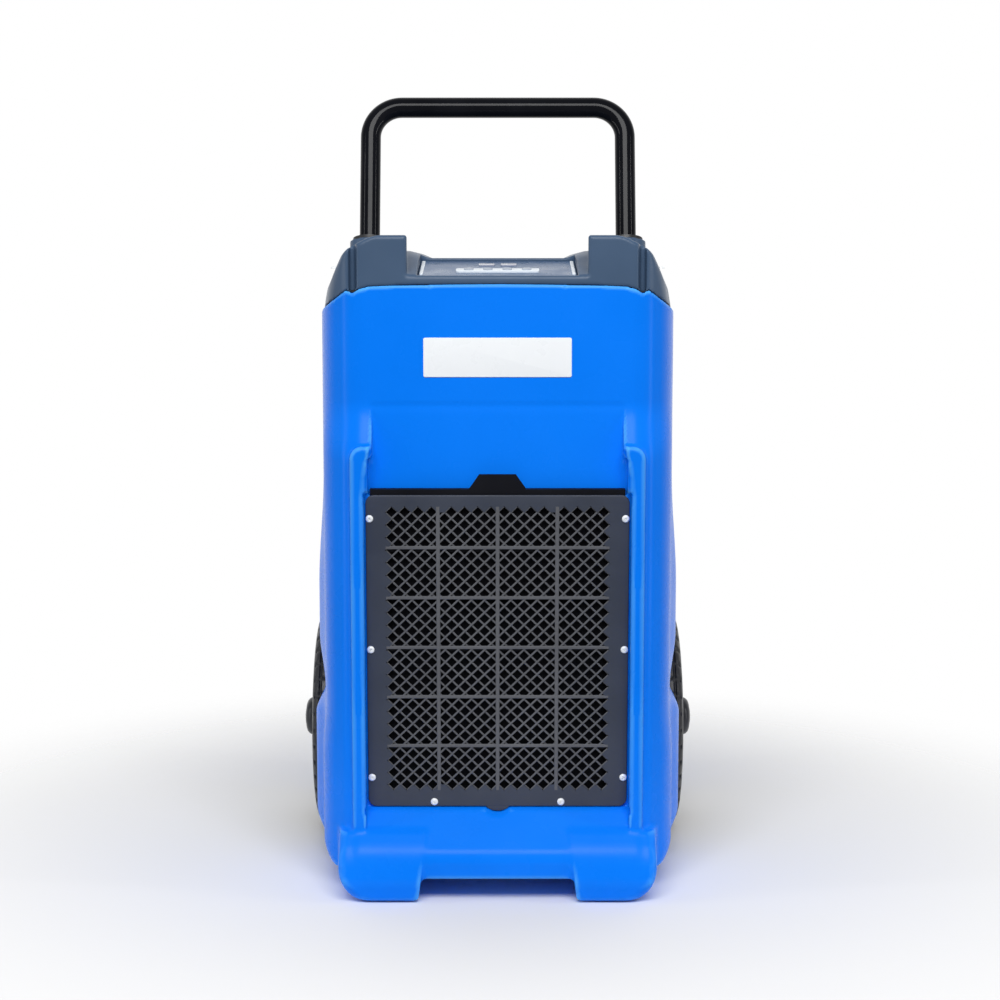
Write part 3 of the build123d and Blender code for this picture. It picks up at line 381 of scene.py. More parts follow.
# ---------------------------------------------------------------- housing
LEAN = radians(2.9)  # the intake leans forward towards its top
PLATE_Y, PLATE_Z = -215.0, 109.5  # foot of the grille plate's face
FRONT_Y, LOWER_FRONT_Y, BACK_Y = -215.0, -236.0, 240.0
HOUSING_HALF, COVER_HALF, BEND_X = 225.5, 225.0, 181.0
FLOOR_Z, FOOT_Z = 29.0, 2.0  # undersides of the housing and of the toes' moulding
SEAT_X, SLOT_X, RAIL_X = 163.0, 148.5, 158.5  # half-widths of the plate's seat, filter slot and its shelf
SEAT_DEPTH, SLOT_DEPTH = 3.2, 14.6
FAN_HEIGHT = 430.0
WHEEL_Y, WHEEL_Z, WELL_R, WELL_X = 118.0, 150.0, 168.0, 200.0
# height of the joint between housing and cover, against the distance from the middle
PART_X = (0, 60, 120, 158, 170, 177, 184, 214, 240, 260)
PART_Z = (759, 758.6, 757.8, 756, 752.5, 747.5, 752, 731, 713, 700)


def grille_coords(y, z):
    """Height along the leaning grille and distance in front of its face."""
    up = -(y - PLATE_Y) * sin(LEAN) + (z - PLATE_Z) * cos(LEAN)
    out = -(y - PLATE_Y) * cos(LEAN) - (z - PLATE_Z) * sin(LEAN)
    return up, out


def body_front(z):
    """The front face beside the intake: it steps forward below the name plate."""
    return FRONT_Y + (LOWER_FRONT_Y - FRONT_Y) * smooth_step((616.0 - z) / 70.0)


def taper(y):
    """How much narrower the machine is towards its front corners."""
    return 8.0 * (1.0 - smooth_step((y + 170.0) / 100.0))


def body_half(y, z):
    """Half-width, with a fender over the wheel and a flared toe in front of it."""
    toe = 13.0 * smooth_step((238.0 - z) / 38.0)
    fender = 7.5 * smooth_step((520.0 - z) / 150.0) * smooth_step((z - 236.0) / 70.0)
    flare = (toe + fender) * smooth_step((y + 150.0) / 80.0)
    return HOUSING_HALF - taper(y) + np.maximum(flare, 4.0 * smooth_step((236.0 - z) / 70.0))


def plan_field(x, y, front, half):
    """Vertical walls: front, wide bevel at the front corners, sides and rounded rear corners."""
    bevel = ((x - BEND_X) * 50.0 - (y - front) * 43.0) / hypot(50.0, 43.0)
    d = round_max(front - y, bevel, 14.0)
    d = round_max(d, x - half, 18.0)
    d = round_max(d, y - BACK_Y, 14.0)
    return round_max(d, (x - half + 30.0 + y - BACK_Y) / sqrt(2), 16.0)


# points of the front's side view, as (y, z)
CHIN_TOP, CHIN_LIP, CHIN_FOOT = (-217.0, 107.5), (-262.0, 58.0), (-260.0, 29.0)
TOE_CREST, TOE_FOOT = (-269.8, 27.0), (-264.0, 1.0)
SURROUND_TOP, SURROUND_LOW = (-249.0, 546.0), (-241.0, 128.0)
RAMP_LOW, RAMP_TOP = (-221.5, 500.0), (-214.6, 618.0)
SURROUND_X, SURROUND_Z, BAY_X, CHIN_X = 179.5, 563.5, 153.5, 181.0
TOE_IN, TOE_OUT = 94.5, 197.0
WALL = 9.0


def chin_slope(y, z):
    """Distance in front of the slope that leads from the foot of the plate to the toes."""
    return half_space(y, z, CHIN_TOP, CHIN_LIP)


def front_relief(x, y, z):
    """Raised surround of the intake, and the chin that slopes forward from the foot of the plate."""
    outline = round_max(x - SURROUND_X, z - SURROUND_Z, 16.0)
    surround = round_max(half_space(y, z, SURROUND_TOP, SURROUND_LOW), outline, 5.0)
    surround = both(surround, 80.0 - z, y + 150.0)
    chin = round_max(chin_slope(y, z), half_space(y, z, CHIN_LIP, CHIN_FOOT), 8.0)
    chin = round_max(chin, x - CHIN_X, 14.0)
    chin = both(chin, z - 150.0, y + 150.0)
    return round_min(surround, chin, 4.0)


def foot_field(x, y, z):
    """A toe of the housing, with its rounded outer corner."""
    foot = round_max(half_space(y, z, CHIN_LIP, TOE_CREST), chin_slope(y, z), 8.0)
    foot = round_max(foot, half_space(y, z, TOE_CREST, TOE_FOOT), 3.0)
    foot = round_max(foot, y + 140.0, 14.0)
    foot = round_max(foot, x - TOE_OUT, 12.0)
    foot = round_max(foot, TOE_IN - (z - FLOOR_Z) * 0.12 - x, 4.0)
    foot = round_max(foot, z - 84.0, 3.0)
    return round_max(foot, half_space(x, z, (174.0, 0.0), (198.0, 24.0)), 14.0)


def intake_openings(x, y, z, solid, ramp):
    """The bay above the plate, the seat of the plate, the slot of the filter and the air way behind."""
    up, out = grille_coords(y, z)
    draft = np.clip(out + 1.0, 0, 16) * 0.7 * np.clip((575.0 - z) / 50.0, 0, 1)
    bay = both(x - BAY_X - draft, ramp, between(z, 495.0, 613.0))
    solid = bevel_cut(solid, bay, 1.5)
    seat = both(x - SEAT_X, between(up, -1.2, 397.0), -SEAT_DEPTH - out)
    notch = both(np.hypot(x, up - 15.75) - 23.0, -SEAT_DEPTH - out)
    solid = bevel_cut(solid, either(seat, notch), 3.0)
    slot = both(x - SLOT_X, -SLOT_DEPTH - out, between(up, 13.0, 400.0))
    shelf = both(x - RAIL_X, -SLOT_DEPTH - out, between(up, 393.5, 440.0))
    way = both(x - 138.0, -60.0 - out, between(up, 22.0, 386.0))
    return both(solid, -either(slot, way, shelf))


def arch_field(y, z):
    """Side view of a wheel arch, open below and behind."""
    wheel = np.hypot(y - WHEEL_Y, z - WHEEL_Z) - WELL_R
    below = both(np.abs(y - WHEEL_Y) - WELL_R, z - WHEEL_Z)
    behind = both(WHEEL_Y - y, z - WHEEL_Z - WELL_R)
    return either(wheel, below, behind)


def housing_field(x, y, z):
    x = np.abs(x)
    d = plan_field(x, y, body_front(z), body_half(y, z))
    d = round_max(d, FLOOR_Z - z, 5.0)
    d = round_max(d, half_space(x, z, (204.0, 26.0), (230.0, 52.0)), 9.0)
    d = round_min(d, front_relief(x, y, z), 3.0)
    wedge = both(x - SEAT_X, -chin_slope(y, z), between(z, CHIN_LIP[1], 112.0))
    d = both(d, -wedge)
    d = round_max(d, FLOOR_Z - z, 3.0)
    d = round_min(d, foot_field(x, y, z), 6.0)
    d = round_max(d, FOOT_Z - z, 6.0)
    d = cut(d, both(arch_field(y, z), WELL_X - x), 5.0)
    # hollow, but for the block that carries the plate and the filter
    out = grille_coords(y, z)[1]
    ramp = half_space(y, z, RAMP_LOW, RAMP_TOP)
    block = either(both(-out - 22.0, z - 520.0), both(ramp - WALL, 500.0 - z))
    block = both(block, x - 172.0, between(z, 40.0, 630.0))
    solid = both(d, either(-(d + WALL), block))
    solid = intake_openings(x, y, z, solid, ramp)
    # rear opening, axle bore, and the joint with the cover
    duct = both(np.hypot(x, z - FAN_HEIGHT) - 118.0, 200.0 - y)
    solid = cut(solid, duct, 2.0)
    axle = both(np.hypot(y - WHEEL_Y, z - WHEEL_Z) - 8.5, 150.0 - x)
    solid = both(solid, -axle)
    part = np.interp(x, PART_X, PART_Z)
    return round_max(solid, (z - part + 0.3) * 0.95, 0.8)


def build_housing():
    step = 3.0
    low, high = (-246, -276, -4), (246, 246, 766)
    verts, quads = net_surface(housing_field, low, high, step)
    return add_mesh("housing_moulding", verts, quads, "blue_shell", replaces=["body_shell"], sharp=0)


build_housing()

# ---------------------------------------------------------------- top cover
RAIL_TOP, RAIL_IN, SADDLE_Z = 818.0, 110.0, 791.3
SHOULDERS = ((223.0, 739.0), (212.5, 774.0), (193.0, 804.5))  # side of the rails in front view, as (x, z)
HANDLE_X, HANDLE_Y, HANDLE_Z, HANDLE_TILT = 176.0, 115.0, 818.0, radians(15)
BOSS_R, DISH_R, SLEEVE_R = 27.0, 25.0, 19.4
PANEL_Y, PANEL_Z, PANEL_TILT = -190.0, 769.0, radians(9.4)
PANEL_MID, RECESS_X = 58.0, 98.6
COVER_SCREW_X, COVER_SCREW_Y, COVER_SCREW_Z = 206.0, (-120.0, 40.0, 190.0), 778.0


def leg_coords(x, y, z):
    """Height along the leaning handle leg and distance from its axis."""
    up = (y - HANDLE_Y) * sin(HANDLE_TILT) + (z - HANDLE_Z) * cos(HANDLE_TILT)
    aside = (y - HANDLE_Y) * cos(HANDLE_TILT) - (z - HANDLE_Z) * sin(HANDLE_TILT)
    return up, np.hypot(x - HANDLE_X, aside)


def panel_coords(y, z):
    """Distance back along the sloping panel and height above its plane."""
    back = (y - PANEL_Y) * cos(PANEL_TILT) + (z - PANEL_Z) * sin(PANEL_TILT)
    rise = -(y - PANEL_Y) * sin(PANEL_TILT) + (z - PANEL_Z) * cos(PANEL_TILT)
    return back, rise


def cover_field(x, y, z):
    x = np.abs(x)
    wide = x + taper(y)
    walls = plan_field(x, y, FRONT_Y, COVER_HALF - taper(y))
    # dished saddle, and the rails with their bevelled shoulders
    plateau = SADDLE_Z + 9.0 * smooth_step((x - 84.0) / 30.0)
    saddle = round_max((z - 770.5 - (y + 212.0) * 0.3) * 0.958, z - plateau, 8.0)
    rail = round_max(z - RAIL_TOP, RAIL_IN + (y - FRONT_Y) * 0.055 - x, 3.0)
    rail = round_max(rail, half_space(wide, z, (180.5, 807.5), (161.0, 817.5)), 5.0)
    rail = round_max(rail, half_space(y, z, (240.0, 790.0), (120.0, 819.0)), 30.0)
    d = round_max(walls, round_min(saddle, rail, 2.0), 5.0)
    foot, knee, crest = SHOULDERS
    d = round_max(d, half_space(wide, z, knee, crest), 6.0)
    d = round_max(d, half_space(wide, z, foot, knee), 12.0)
    # groove down each front corner
    off = np.abs(x - 177.0)
    groove = both(off - 6.4 + (y - FRONT_Y) * 0.25, y + 199.0, (748.0 + off * 1.2 - z) * 0.64)
    d = cut(d, groove, 1.2)
    # bosses of the handle
    up, aside = leg_coords(x, y, z)
    d = round_min(d, both(aside - BOSS_R, np.abs(up + 34.0) - 30.0), 6.0)
    d = cut(d, both(aside - DISH_R, -4.2 - up), 1.2)
    d = both(d, -both(aside - SLEEVE_R, -80.0 - up))
    # flat lip and recess of the control panel, and the window under it
    back, rise = panel_coords(y, z)
    lip = both(x - RECESS_X, 769.3 - z, y + 186.0)
    seat = both(round_max(x - RECESS_X, np.abs(back - PANEL_MID) - 59.2, 5.0), -3.7 - rise)
    d = cut(d, either(seat, lip), 1.8)
    d = both(d, -both(x - 85.0, np.abs(back - PANEL_MID) - 48.0, -40.0 - rise))
    # counterbores of the screws, hollow underside and the joint with the housing
    for screw_y in COVER_SCREW_Y:
        bore = both(np.hypot(x - COVER_SCREW_X, y - screw_y) - 6.0, COVER_SCREW_Z - z)
        d = cut(d, bore, 1.2)
    d = both(d, -both(walls + 32.0, z - 752.0))
    part = np.interp(x, PART_X, PART_Z)
    return round_max(d, (part + 0.3 - z) * 0.95, 0.8)


def build_cover():
    step = 2.0
    verts, quads = net_surface(cover_field, (-230, -221, 704), (230, 246, 824), step)
    add_mesh("cover_moulding", verts, quads, "grey_cover", replaces=["top_cover"], sharp=0)


build_cover()


def build_gasket():
    """The thin seal in the joint, set a little way in from the outer walls."""
    count = 240
    rings = [[], []]
    for n in range(count):
        a = 2 * pi * (n + 0.5) / count
        for ring, inset in zip(rings, (3.5, 10.0)):
            near, far = 100.0, 340.0
            for _ in range(24):
                r = (near + far) / 2
                x, y = r * cos(a), r * sin(a)
                inside = plan_field(abs(x), y, FRONT_Y, COVER_HALF - taper(y)) < -inset
                near, far = (r, far) if inside else (near, r)
            ring.append((x, y, float(np.interp(abs(x), PART_X, PART_Z))))
    outer, inner = rings
    rows = []
    for ring, rise in ((outer, -0.7), (outer, 0.7), (inner, 0.7), (inner, -0.7), (outer, -0.7)):
        rows += [(x, y, z + rise) for x, y, z in ring]
    add_mesh("seal_ring", rows, ring_faces(5, count), "seal_rubber", smooth=False, replaces=["cover_gasket"])


build_gasket()


# ---------------------------------------------------------------- flat pieces with rolled edges
def placed(points, origin, across, upward, outward):
    """Turns (u, v, w) points into the row frame, in millimetres."""
    points = np.asarray(points, float)
    basis = np.array([across, upward, outward], float)
    return np.asarray(origin, float) + points @ basis


GRILLE_FRAME = ((0, PLATE_Y, PLATE_Z), (1, 0, 0), (0, -sin(LEAN), cos(LEAN)), (0, -cos(LEAN), -sin(LEAN)))
PANEL_FRAME = ((0, PANEL_Y, PANEL_Z), (1, 0, 0), (0, cos(PANEL_TILT), sin(PANEL_TILT)),
               (0, -sin(PANEL_TILT), cos(PANEL_TILT)))
FACE_FRAME = ((0, FRONT_Y, 670), (1, 0, 0), (0, 0, 1), (0, -1, 0))
HANDLE_FRAME = ((0, HANDLE_Y, HANDLE_Z), (1, 0, 0), (0, sin(HANDLE_TILT), cos(HANDLE_TILT)),
                (0, -cos(HANDLE_TILT), sin(HANDLE_TILT)))


def round_rect(half_w, half_h, radius, centre=(0, 0), steps=6):
    """Outline of a rectangle with rounded corners, counter-clockwise."""
    points = []
    for quarter in range(4):
        sx, sy = ((1, 1), (-1, 1), (-1, -1), (1, -1))[quarter]
        for n in range(steps + 1):
            a = radians(90 * quarter + 90 * n / steps)
            points.append((centre[0] + sx * (half_w - radius) + radius * cos(a),
                           centre[1] + sy * (half_h - radius) + radius * sin(a)))
    return points


def tile(half_w, half_h, radius, levels, centre=(0, 0), steps=6):
    """A closed plate with rolled edges: levels are (inset, height) pairs from its back to its face."""
    verts, around = [], 4 * (steps + 1)
    for inset, height in levels:
        outline = round_rect(half_w - inset, half_h - inset, max(radius - inset, 0.05), centre, steps)
        verts += [(u, v, height) for u, v in outline]
    faces = ring_faces(len(levels), around)
    faces.append(tuple(reversed(range(around))))
    faces.append(tuple(range((len(levels) - 1) * around, len(levels) * around)))
    return verts, faces


def merged(parts):
    """Several (verts, faces) meshes as one."""
    verts, faces = [], []
    for part_verts, part_faces in parts:
        start = len(verts)
        verts += list(part_verts)
        faces += [tuple(n + start for n in face) for face in part_faces]
    return verts, faces


def rolled(thickness, edge, base=0.0):
    """Levels of a plate whose front edge is rolled over by `edge`."""
    levels = [(0, base)]
    for n in range(5):
        a = radians(22.5 * n)
        levels.append((edge * (1 - cos(a)), base + thickness - edge + edge * sin(a)))
    return levels


# ---------------------------------------------------------------- intake grille
PLATE_HALF, PLATE_TALL, PLATE_T, PLATE_CORNER = 161.3, 394.0, 3.0, 10.0
LATTICE_V = 200.5
CELL_U, CELL_V = 73 / 9, 62.7 / 8
LAST_U, LAST_V = 16, 22
RIB_COLUMN, RIB_ROW = 9, 8
RIB_U, RIB_V = RIB_COLUMN * CELL_U, RIB_ROW * CELL_V
RIB_RISE = 3.0
SCREWS = [(side * 156.5, v) for side in (-1, 1) for v in (365, 201, 37.5)] + [(-79, 6), (79, 6)]


def lattice_rim():
    """The zigzag outline of the lattice's openings, counter-clockwise, in half pitches."""
    right = [(LAST_U + ((LAST_V + n) % 2 == 0), n) for n in range(-LAST_V, LAST_V + 1)]
    top = [(n, LAST_V + ((LAST_U + n) % 2 == (abs(n) < RIB_COLUMN))) for n in range(LAST_U, -LAST_U - 1, -1)]
    rim = []
    for point in right + top + [(-u, -v) for u, v in right] + [(-u, -v) for u, v in top]:
        if point not in rim:
            rim.append(point)
    return rim


def build_grille():
    """The plate's flat border, with its rolled outer edge and the tongue at its foot."""
    rim = [(u * CELL_U, LATTICE_V + v * CELL_V) for u, v in lattice_rim()]
    levels = rolled(PLATE_T, 1.2, -PLATE_T)
    steps = 8
    around = 4 * (steps + 1)
    verts = []
    for inset, height in levels:
        half_w, half_h = PLATE_HALF - inset, PLATE_TALL / 2 - inset
        outline = round_rect(half_w, half_h, PLATE_CORNER - inset, (0, PLATE_TALL / 2), steps)
        verts += [(u, v, height) for u, v in outline]
    faces = ring_faces(len(levels), around)
    first = len(verts)
    verts += [(u, v, 0) for u, v in rim] + [(u, v, -PLATE_T) for u, v in rim]
    front_rim = list(range(first, first + len(rim)))
    back_rim = list(range(first + len(rim), first + 2 * len(rim)))
    top_ring = list(range((len(levels) - 1) * around, len(levels) * around))
    for ring, hole, front in ((top_ring, front_rim, True), (list(range(around)), back_rim, False)):
        loops = [[Vector((verts[n][0], verts[n][1], 0)) for n in loop] for loop in (ring, hole)]
        names = ring + hole
        for triangle in tessellate_polygon(loops):
            a, b, c = [names[n] for n in triangle]
            pa, pb, pc = [Vector(verts[n][:2]) for n in (a, b, c)]
            upward = (pb - pa).cross(pc - pa) > 0
            faces.append((a, b, c) if upward == front else (c, b, a))
    for n in range(len(rim)):
        m = (n + 1) % len(rim)
        faces.append((front_rim[m], front_rim[n], back_rim[n], back_rim[m]))
    tongue = [(15.5 * cos(radians(a)), 3 + 8.5 * sin(radians(a))) for a in range(180, 361, 10)]
    tongue_verts = [(u * k, v, w) for w, k in ((-PLATE_T, 1), (-0.7, 1), (-0.1, 0.95)) for u, v in tongue]
    count = len(tongue)
    tongue_faces = ring_faces(3, count)
    tongue_faces += [tuple(reversed(range(count))), tuple(range(2 * count, 3 * count))]
    verts, faces = merged([(verts, faces), (tongue_verts, tongue_faces)])
    add_mesh("grille_plate", placed(verts, *GRILLE_FRAME), faces, "grille_black", replaces=["front_grille"])


def bar(start, end, half, low, high, edge=0.35):
    """A straight bar in the plate's plane with its two front edges bevelled."""
    du, dv = end[0] - start[0], end[1] - start[1]
    length = hypot(du, dv)
    across = (-dv / length, du / length)
    section = ((-half, low), (half, low), (half, high - edge), (half - edge, high), (edge - half, high),
               (-half, high - edge))
    verts = [(u + t * across[0], v + t * across[1], w) for u, v in (start, end) for t, w in section]
    return verts, ring_faces(2, 6) + [(0, 1, 2, 3, 4, 5)[::-1], (6, 7, 8, 9, 10, 11)]


def diagonals(left, right, low, high, slant):
    """Ends of the bars that cross one window of the lattice, rising (+1) or falling (-1)."""
    runs = []
    for n in range(-80, 81, 2):
        # along a bar v = slant * u + n in half pitches; the window cuts its ends
        first, last = sorted(((low - n) * slant, (high - n) * slant))
        u_a, u_b = max(left, first), min(right, last)
        if u_b - u_a > 0.2:
            runs.append(((u_a, slant * u_a + n), (u_b, slant * u_b + n)))
    return runs


def build_lattice():
    """Crossed diagonal bars, one set in front of the other, and straight ribs over them."""
    bars = []
    reach_u, reach_v = LAST_U + 0.9, LAST_V + 0.9
    windows = ((-reach_u, -RIB_COLUMN, 1), (-RIB_COLUMN, 0, 0), (0, RIB_COLUMN, 0), (RIB_COLUMN, reach_u, 1))
    for left, right, shift in windows:
        for slant, low, high in ((1, -1.9, -0.35), (-1, -2.95, -1.9)):
            for start, end in diagonals(left, right, -reach_v - shift, reach_v - shift, slant):
                ends = [(u * CELL_U, LATTICE_V + (v + shift) * CELL_V) for u, v in (start, end)]
                bars.append(bar(*ends, 1.1, low, high))
    for n in (-1, 0, 1):
        ends = [(n * RIB_U, LATTICE_V + side * reach_v * CELL_V) for side in (-1, 1)]
        bars.append(bar(*ends, 2.3, -PLATE_T, 0.3, 0.6))
    for n in (-2, -1, 0, 1, 2):
        ends = [(side * reach_u * CELL_U, LATTICE_V + n * RIB_V + RIB_RISE) for side in (-1, 1)]
        bars.append(bar(*ends, 1.9, -PLATE_T, 0.2, 0.6))
    verts, faces = merged(bars)
    piece = add_mesh("grille_lattice", placed(verts, *GRILLE_FRAME), faces, "grille_black",
                     replaces=["front_grille"], sharp=20)
    piece.data.materials[0] = surface("lattice_plastic", (0.1, 0.104, 0.118), 0.5, vary=0.1, grain=1300,
                                      bump=0.1)


def screw_head(radius, tall, turn=0.0):
    """A pan head with a cross recess, standing on the w = 0 plane."""
    arm, half = radius * 0.42, radius * 0.1
    angles = np.radians(np.arange(0, 360, 7.5)) + turn
    verts, rows = [], 0
    for r, h in ((1, 0), (1, 0.22), (0.94, 0.5), (0.8, 0.78), (0.66, 0.93)):
        verts += [(radius * r * cos(a), radius * r * sin(a), tall * h) for a in angles]
        rows += 1
    for h, shrink in ((1.0, 1.0), (0.45, 0.9)):
        for a in angles:
            ca, sa = max(abs(cos(a - turn)), 1e-6), max(abs(sin(a - turn)), 1e-6)
            r = max(min(arm / ca, half / sa), min(half / ca, arm / sa)) * shrink
            verts.append((r * cos(a), r * sin(a), tall * h))
        rows += 1
    faces = ring_faces(rows, len(angles))
    faces.append(tuple(range((rows - 1) * len(angles), rows * len(angles))))
    faces.append(tuple(reversed(range(len(angles)))))
    return verts, faces


def build_screws():
    heads = []
    for n, (u, v) in enumerate(SCREWS):
        verts, faces = screw_head(4.6, 2.4, 0.7 * n)
        heads.append(([(a + u, b + v, c) for a, b, c in verts], faces))
    verts, faces = merged(heads)
    verts = placed(verts, *GRILLE_FRAME)
    add_mesh("grille_screw_heads", verts, faces, "zinc_screw", replaces=["grille_screws"])
    heads = []
    for n, (side, y) in enumerate([(side, y) for side in (-1, 1) for y in COVER_SCREW_Y]):
        verts, faces = screw_head(4.5, 2.6, 0.9 * n)
        heads.append(([(a + side * COVER_SCREW_X, b + y, c + COVER_SCREW_Z) for a, b, c in verts], faces))
    verts, faces = merged(heads)
    add_mesh("cover_screw_heads", verts, faces, "zinc_screw", replaces=["cover_screws"])


def build_name_plate():
    verts, faces = tile(90.5, 24, 2.2, rolled(1.4, 0.5, -0.3))
    add_mesh("blank_plate", placed(verts, *FACE_FRAME), faces, "plate_white", replaces=["name_plate"])


PANEL_LOW, PANEL_TOP, BEZEL_TOP = -3.5, -0.5, 2.0
BUTTON_V, BUTTON_R, WINDOW_V = 35.0, 6.0, 84.0
BUTTONS = {"power": -36.0, "mode": -12.0, "down": 12.0, "up": 36.0}


def build_panel():
    """Printed film, raised button strip, two white strips painted as glints on the recess walls, two lenses
    and four dished buttons.
    """
    film = tile(97.5, 57.5, 5, rolled(PANEL_TOP - PANEL_LOW, 0.6, PANEL_LOW), (0, PANEL_MID))
    add_mesh("panel_plate", placed(film[0], *PANEL_FRAME), film[1], "panel_film", replaces=["control_panel"])
    strips = [tile(52, 10, 4, rolled(BEZEL_TOP - PANEL_TOP, 0.9, PANEL_TOP), (0, BUTTON_V))]
    # the two narrow white strips by the recess walls are painted glints, white stand-ins for light caught on
    # the walls
    for u in (-94.2, 94.2):
        strips.append(tile(2.2, 50, 1.6, rolled(1.6, 0.7, PANEL_TOP), (u, PANEL_MID)))
    verts, faces = merged(strips)
    add_mesh("panel_strip_and_painted_glints", placed(verts, *PANEL_FRAME), faces, "bezel_white", replaces=["button_bezel"])
    lenses = [tile(10, 6, 2, rolled(1.5, 0.6, PANEL_TOP), (u, WINDOW_V)) for u in (-14, 14)]
    verts, faces = merged(lenses)
    verts = placed(verts, *PANEL_FRAME)
    add_mesh("display_lenses", verts, faces, "display_lens", replaces=["display_window"])
    dished = [(0, -4.2), (0, 3.0), (0.2, 3.4), (0.6, 3.65), (1.1, 3.7), (2.4, 3.5), (5.0, 3.3)]
    for name, u in BUTTONS.items():
        verts, faces = tile(BUTTON_R, BUTTON_R, BUTTON_R, dished, (u, BUTTON_V), 10)
        add_mesh(f"{name}_key", placed(verts, *PANEL_FRAME), faces, "button_grey", f"button_{name}",
                 replaces=[f"button_{name}"])


GUARD_Y, SPOKE_Y = 261.5, 262.3


def spun(profile, segments=128):
    """A ring about the duct's axis; profile points are (radius, y), closed on itself."""
    verts = []
    for n in range(segments):
        a = 2 * pi * n / segments
        verts += [(r * cos(a), y, FAN_HEIGHT + r * sin(a)) for r, y in profile]
    return verts, turned_faces(segments, len(profile), flip=True)


def build_outlet():
    """Flanged duct collar with a bead at its mouth, and its guard of rings and spokes."""
    flange = [(119.5, 240), (138, 240), (139, 241), (138.4, 242.6), (137, 243), (128, 243), (125.6, 244)]
    mouth = [(124.4, 263), (125, 264.5), (125, 268.5), (123.6, 270), (120.6, 270), (119.5, 269)]
    collar = flange + [(124.6, 247)] + mouth
    verts, faces = spun(collar)
    add_mesh("collar_beaded", verts, faces, "nylon_black", replaces=["duct_collar"])
    wires = []
    for r in range(20, 118, 16):
        ring = [(r + 1.5 * cos(a), GUARD_Y + 1.5 * sin(a)) for a in np.radians(range(0, 360, 45))]
        wires.append(spun(ring, 96))
    for turn in range(8):
        a = turn * pi / 4
        verts = []
        for r in (17.5, 119.5):
            for n in range(8):
                b = 2 * pi * n / 8
                aside = 1.5 * cos(b)
                x, z = r * cos(a) - aside * sin(a), r * sin(a) + aside * cos(a)
                verts.append((x, SPOKE_Y + 0.7 * sin(b), FAN_HEIGHT + z))
        wires.append((verts, ring_faces(2, 8) + [tuple(range(8)), tuple(range(15, 7, -1))]))
    verts, faces = merged(wires)
    add_mesh("guard_rings", verts, faces, "nylon_black", replaces=["outlet_guard"])


def build_foot_studs():
    """Low rubber studs under the toes."""
    studs = []
    for x, y in [(side * u, v) for side in (-1, 1) for u, v in ((125, -235), (163, -235), (150, -175))]:
        verts, faces = tile(10, 10, 10, [(1.5, 0), (0.5, 0.4), (0, 1.2), (0, 5)], (x, y), 8)
        studs.append((verts, faces))
    verts, faces = merged(studs)
    add_mesh("foot_studs", verts, faces, "seal_rubber", replaces=["foot_pads"])


build_grille()
build_lattice()
build_screws()
build_name_plate()
build_panel()
build_outlet()
build_foot_studs()

# ---------------------------------------------------------------- handle
TUBE_R, TUBE_INNER = 14.0, 12.2
HANDLE_RISE, BEND_R, LEG_END = 189.0, 43.0, -66.0


def handle_path():
    """Centre line of the handle in its own plane, with the direction at each point."""
    points = [(-HANDLE_X, LEG_END, 0, 1)]
    turns = 20
    for n in range(turns + 1):
        a = radians(180 - 90 * n / turns)
        u, v = -HANDLE_X + BEND_R + BEND_R * cos(a), HANDLE_RISE - BEND_R + BEND_R * sin(a)
        points.append((u, v, sin(a), -cos(a)))
    right = [(-u, v, du, -dv) for u, v, du, dv in reversed(points)]
    return points + right


def build_handle():
    path = handle_path()
    around = 48
    verts = []
    for radius, route in ((TUBE_R, path), (TUBE_INNER, path[::-1])):
        for u, v, du, dv in route:
            for n in range(around):
                a = 2 * pi * n / around
                verts.append((u + radius * cos(a) * dv, v - radius * cos(a) * du, radius * sin(a)))
    rows = 2 * len(path)
    faces = ring_faces(rows, around)
    last = (rows - 1) * around
    for n in range(around):
        m = (n + 1) % around
        faces.append((last + n, last + m, m, n))
    verts = placed(verts, *HANDLE_FRAME)
    add_mesh("handle_bow", verts, faces, "handle_black", "handle", replaces=["handle_tube"])


build_handle()


# ---------------------------------------------------------------- wheels
def lathe(profile, segments, side=1, reshape=None):
    """A ring about the axle; profile points are (x, radius), closed on itself."""
    verts = []
    for n in range(segments):
        a = 2 * pi * n / segments
        for x, r in profile:
            if reshape:
                r = reshape(x, r, a)
            verts.append((side * x, WHEEL_Y + r * cos(a), WHEEL_Z + r * sin(a)))
    return verts, turned_faces(segments, len(profile), flip=side < 0)


TYRE_IN, TYRE_OUT, RIM_R, TYRE_R = 207.0, 250.5, 104.0, 149.9
TYRE_MID = (TYRE_IN + TYRE_OUT) / 2
TREAD_DEPTH, TREAD_SLOTS = 2.6, 40


def tyre_profile():
    """A squarish round section: bead, bulging side walls and a flat tread."""
    half, waist = (TYRE_OUT - TYRE_IN) / 2, 125.0
    points = []
    for n in range(84):
        a = radians(-90 + 360 * (n + 0.5) / 84)
        cx, sy = cos(a), sin(a)
        x = TYRE_MID + half * np.sign(cx) * abs(cx) ** 0.62
        r = waist + (TYRE_R - waist) * np.sign(sy) * abs(sy) ** 0.66
        points.append((float(x), float(max(r, RIM_R))))
    return points


def tread(x, r, a):
    """Three grooves round the tyre and slots across its shoulders."""
    crown = min(max((r - 136.0) / 8.0, 0.0), 1.0)
    off = abs(x - TYRE_MID)
    depth = 1.0 if min(off, abs(off - 9.5)) < 1.5 else 0.0
    phase = (a * TREAD_SLOTS / (2 * pi) + (0.5 if x > TYRE_MID else 0.0) + off * 0.012) % 1.0
    if off > 11.0 and phase < 0.22:
        depth = 1.0
    if 1.6 < off < 9.0 and phase > 0.86:
        depth = 0.6
    return r - TREAD_DEPTH * depth * crown


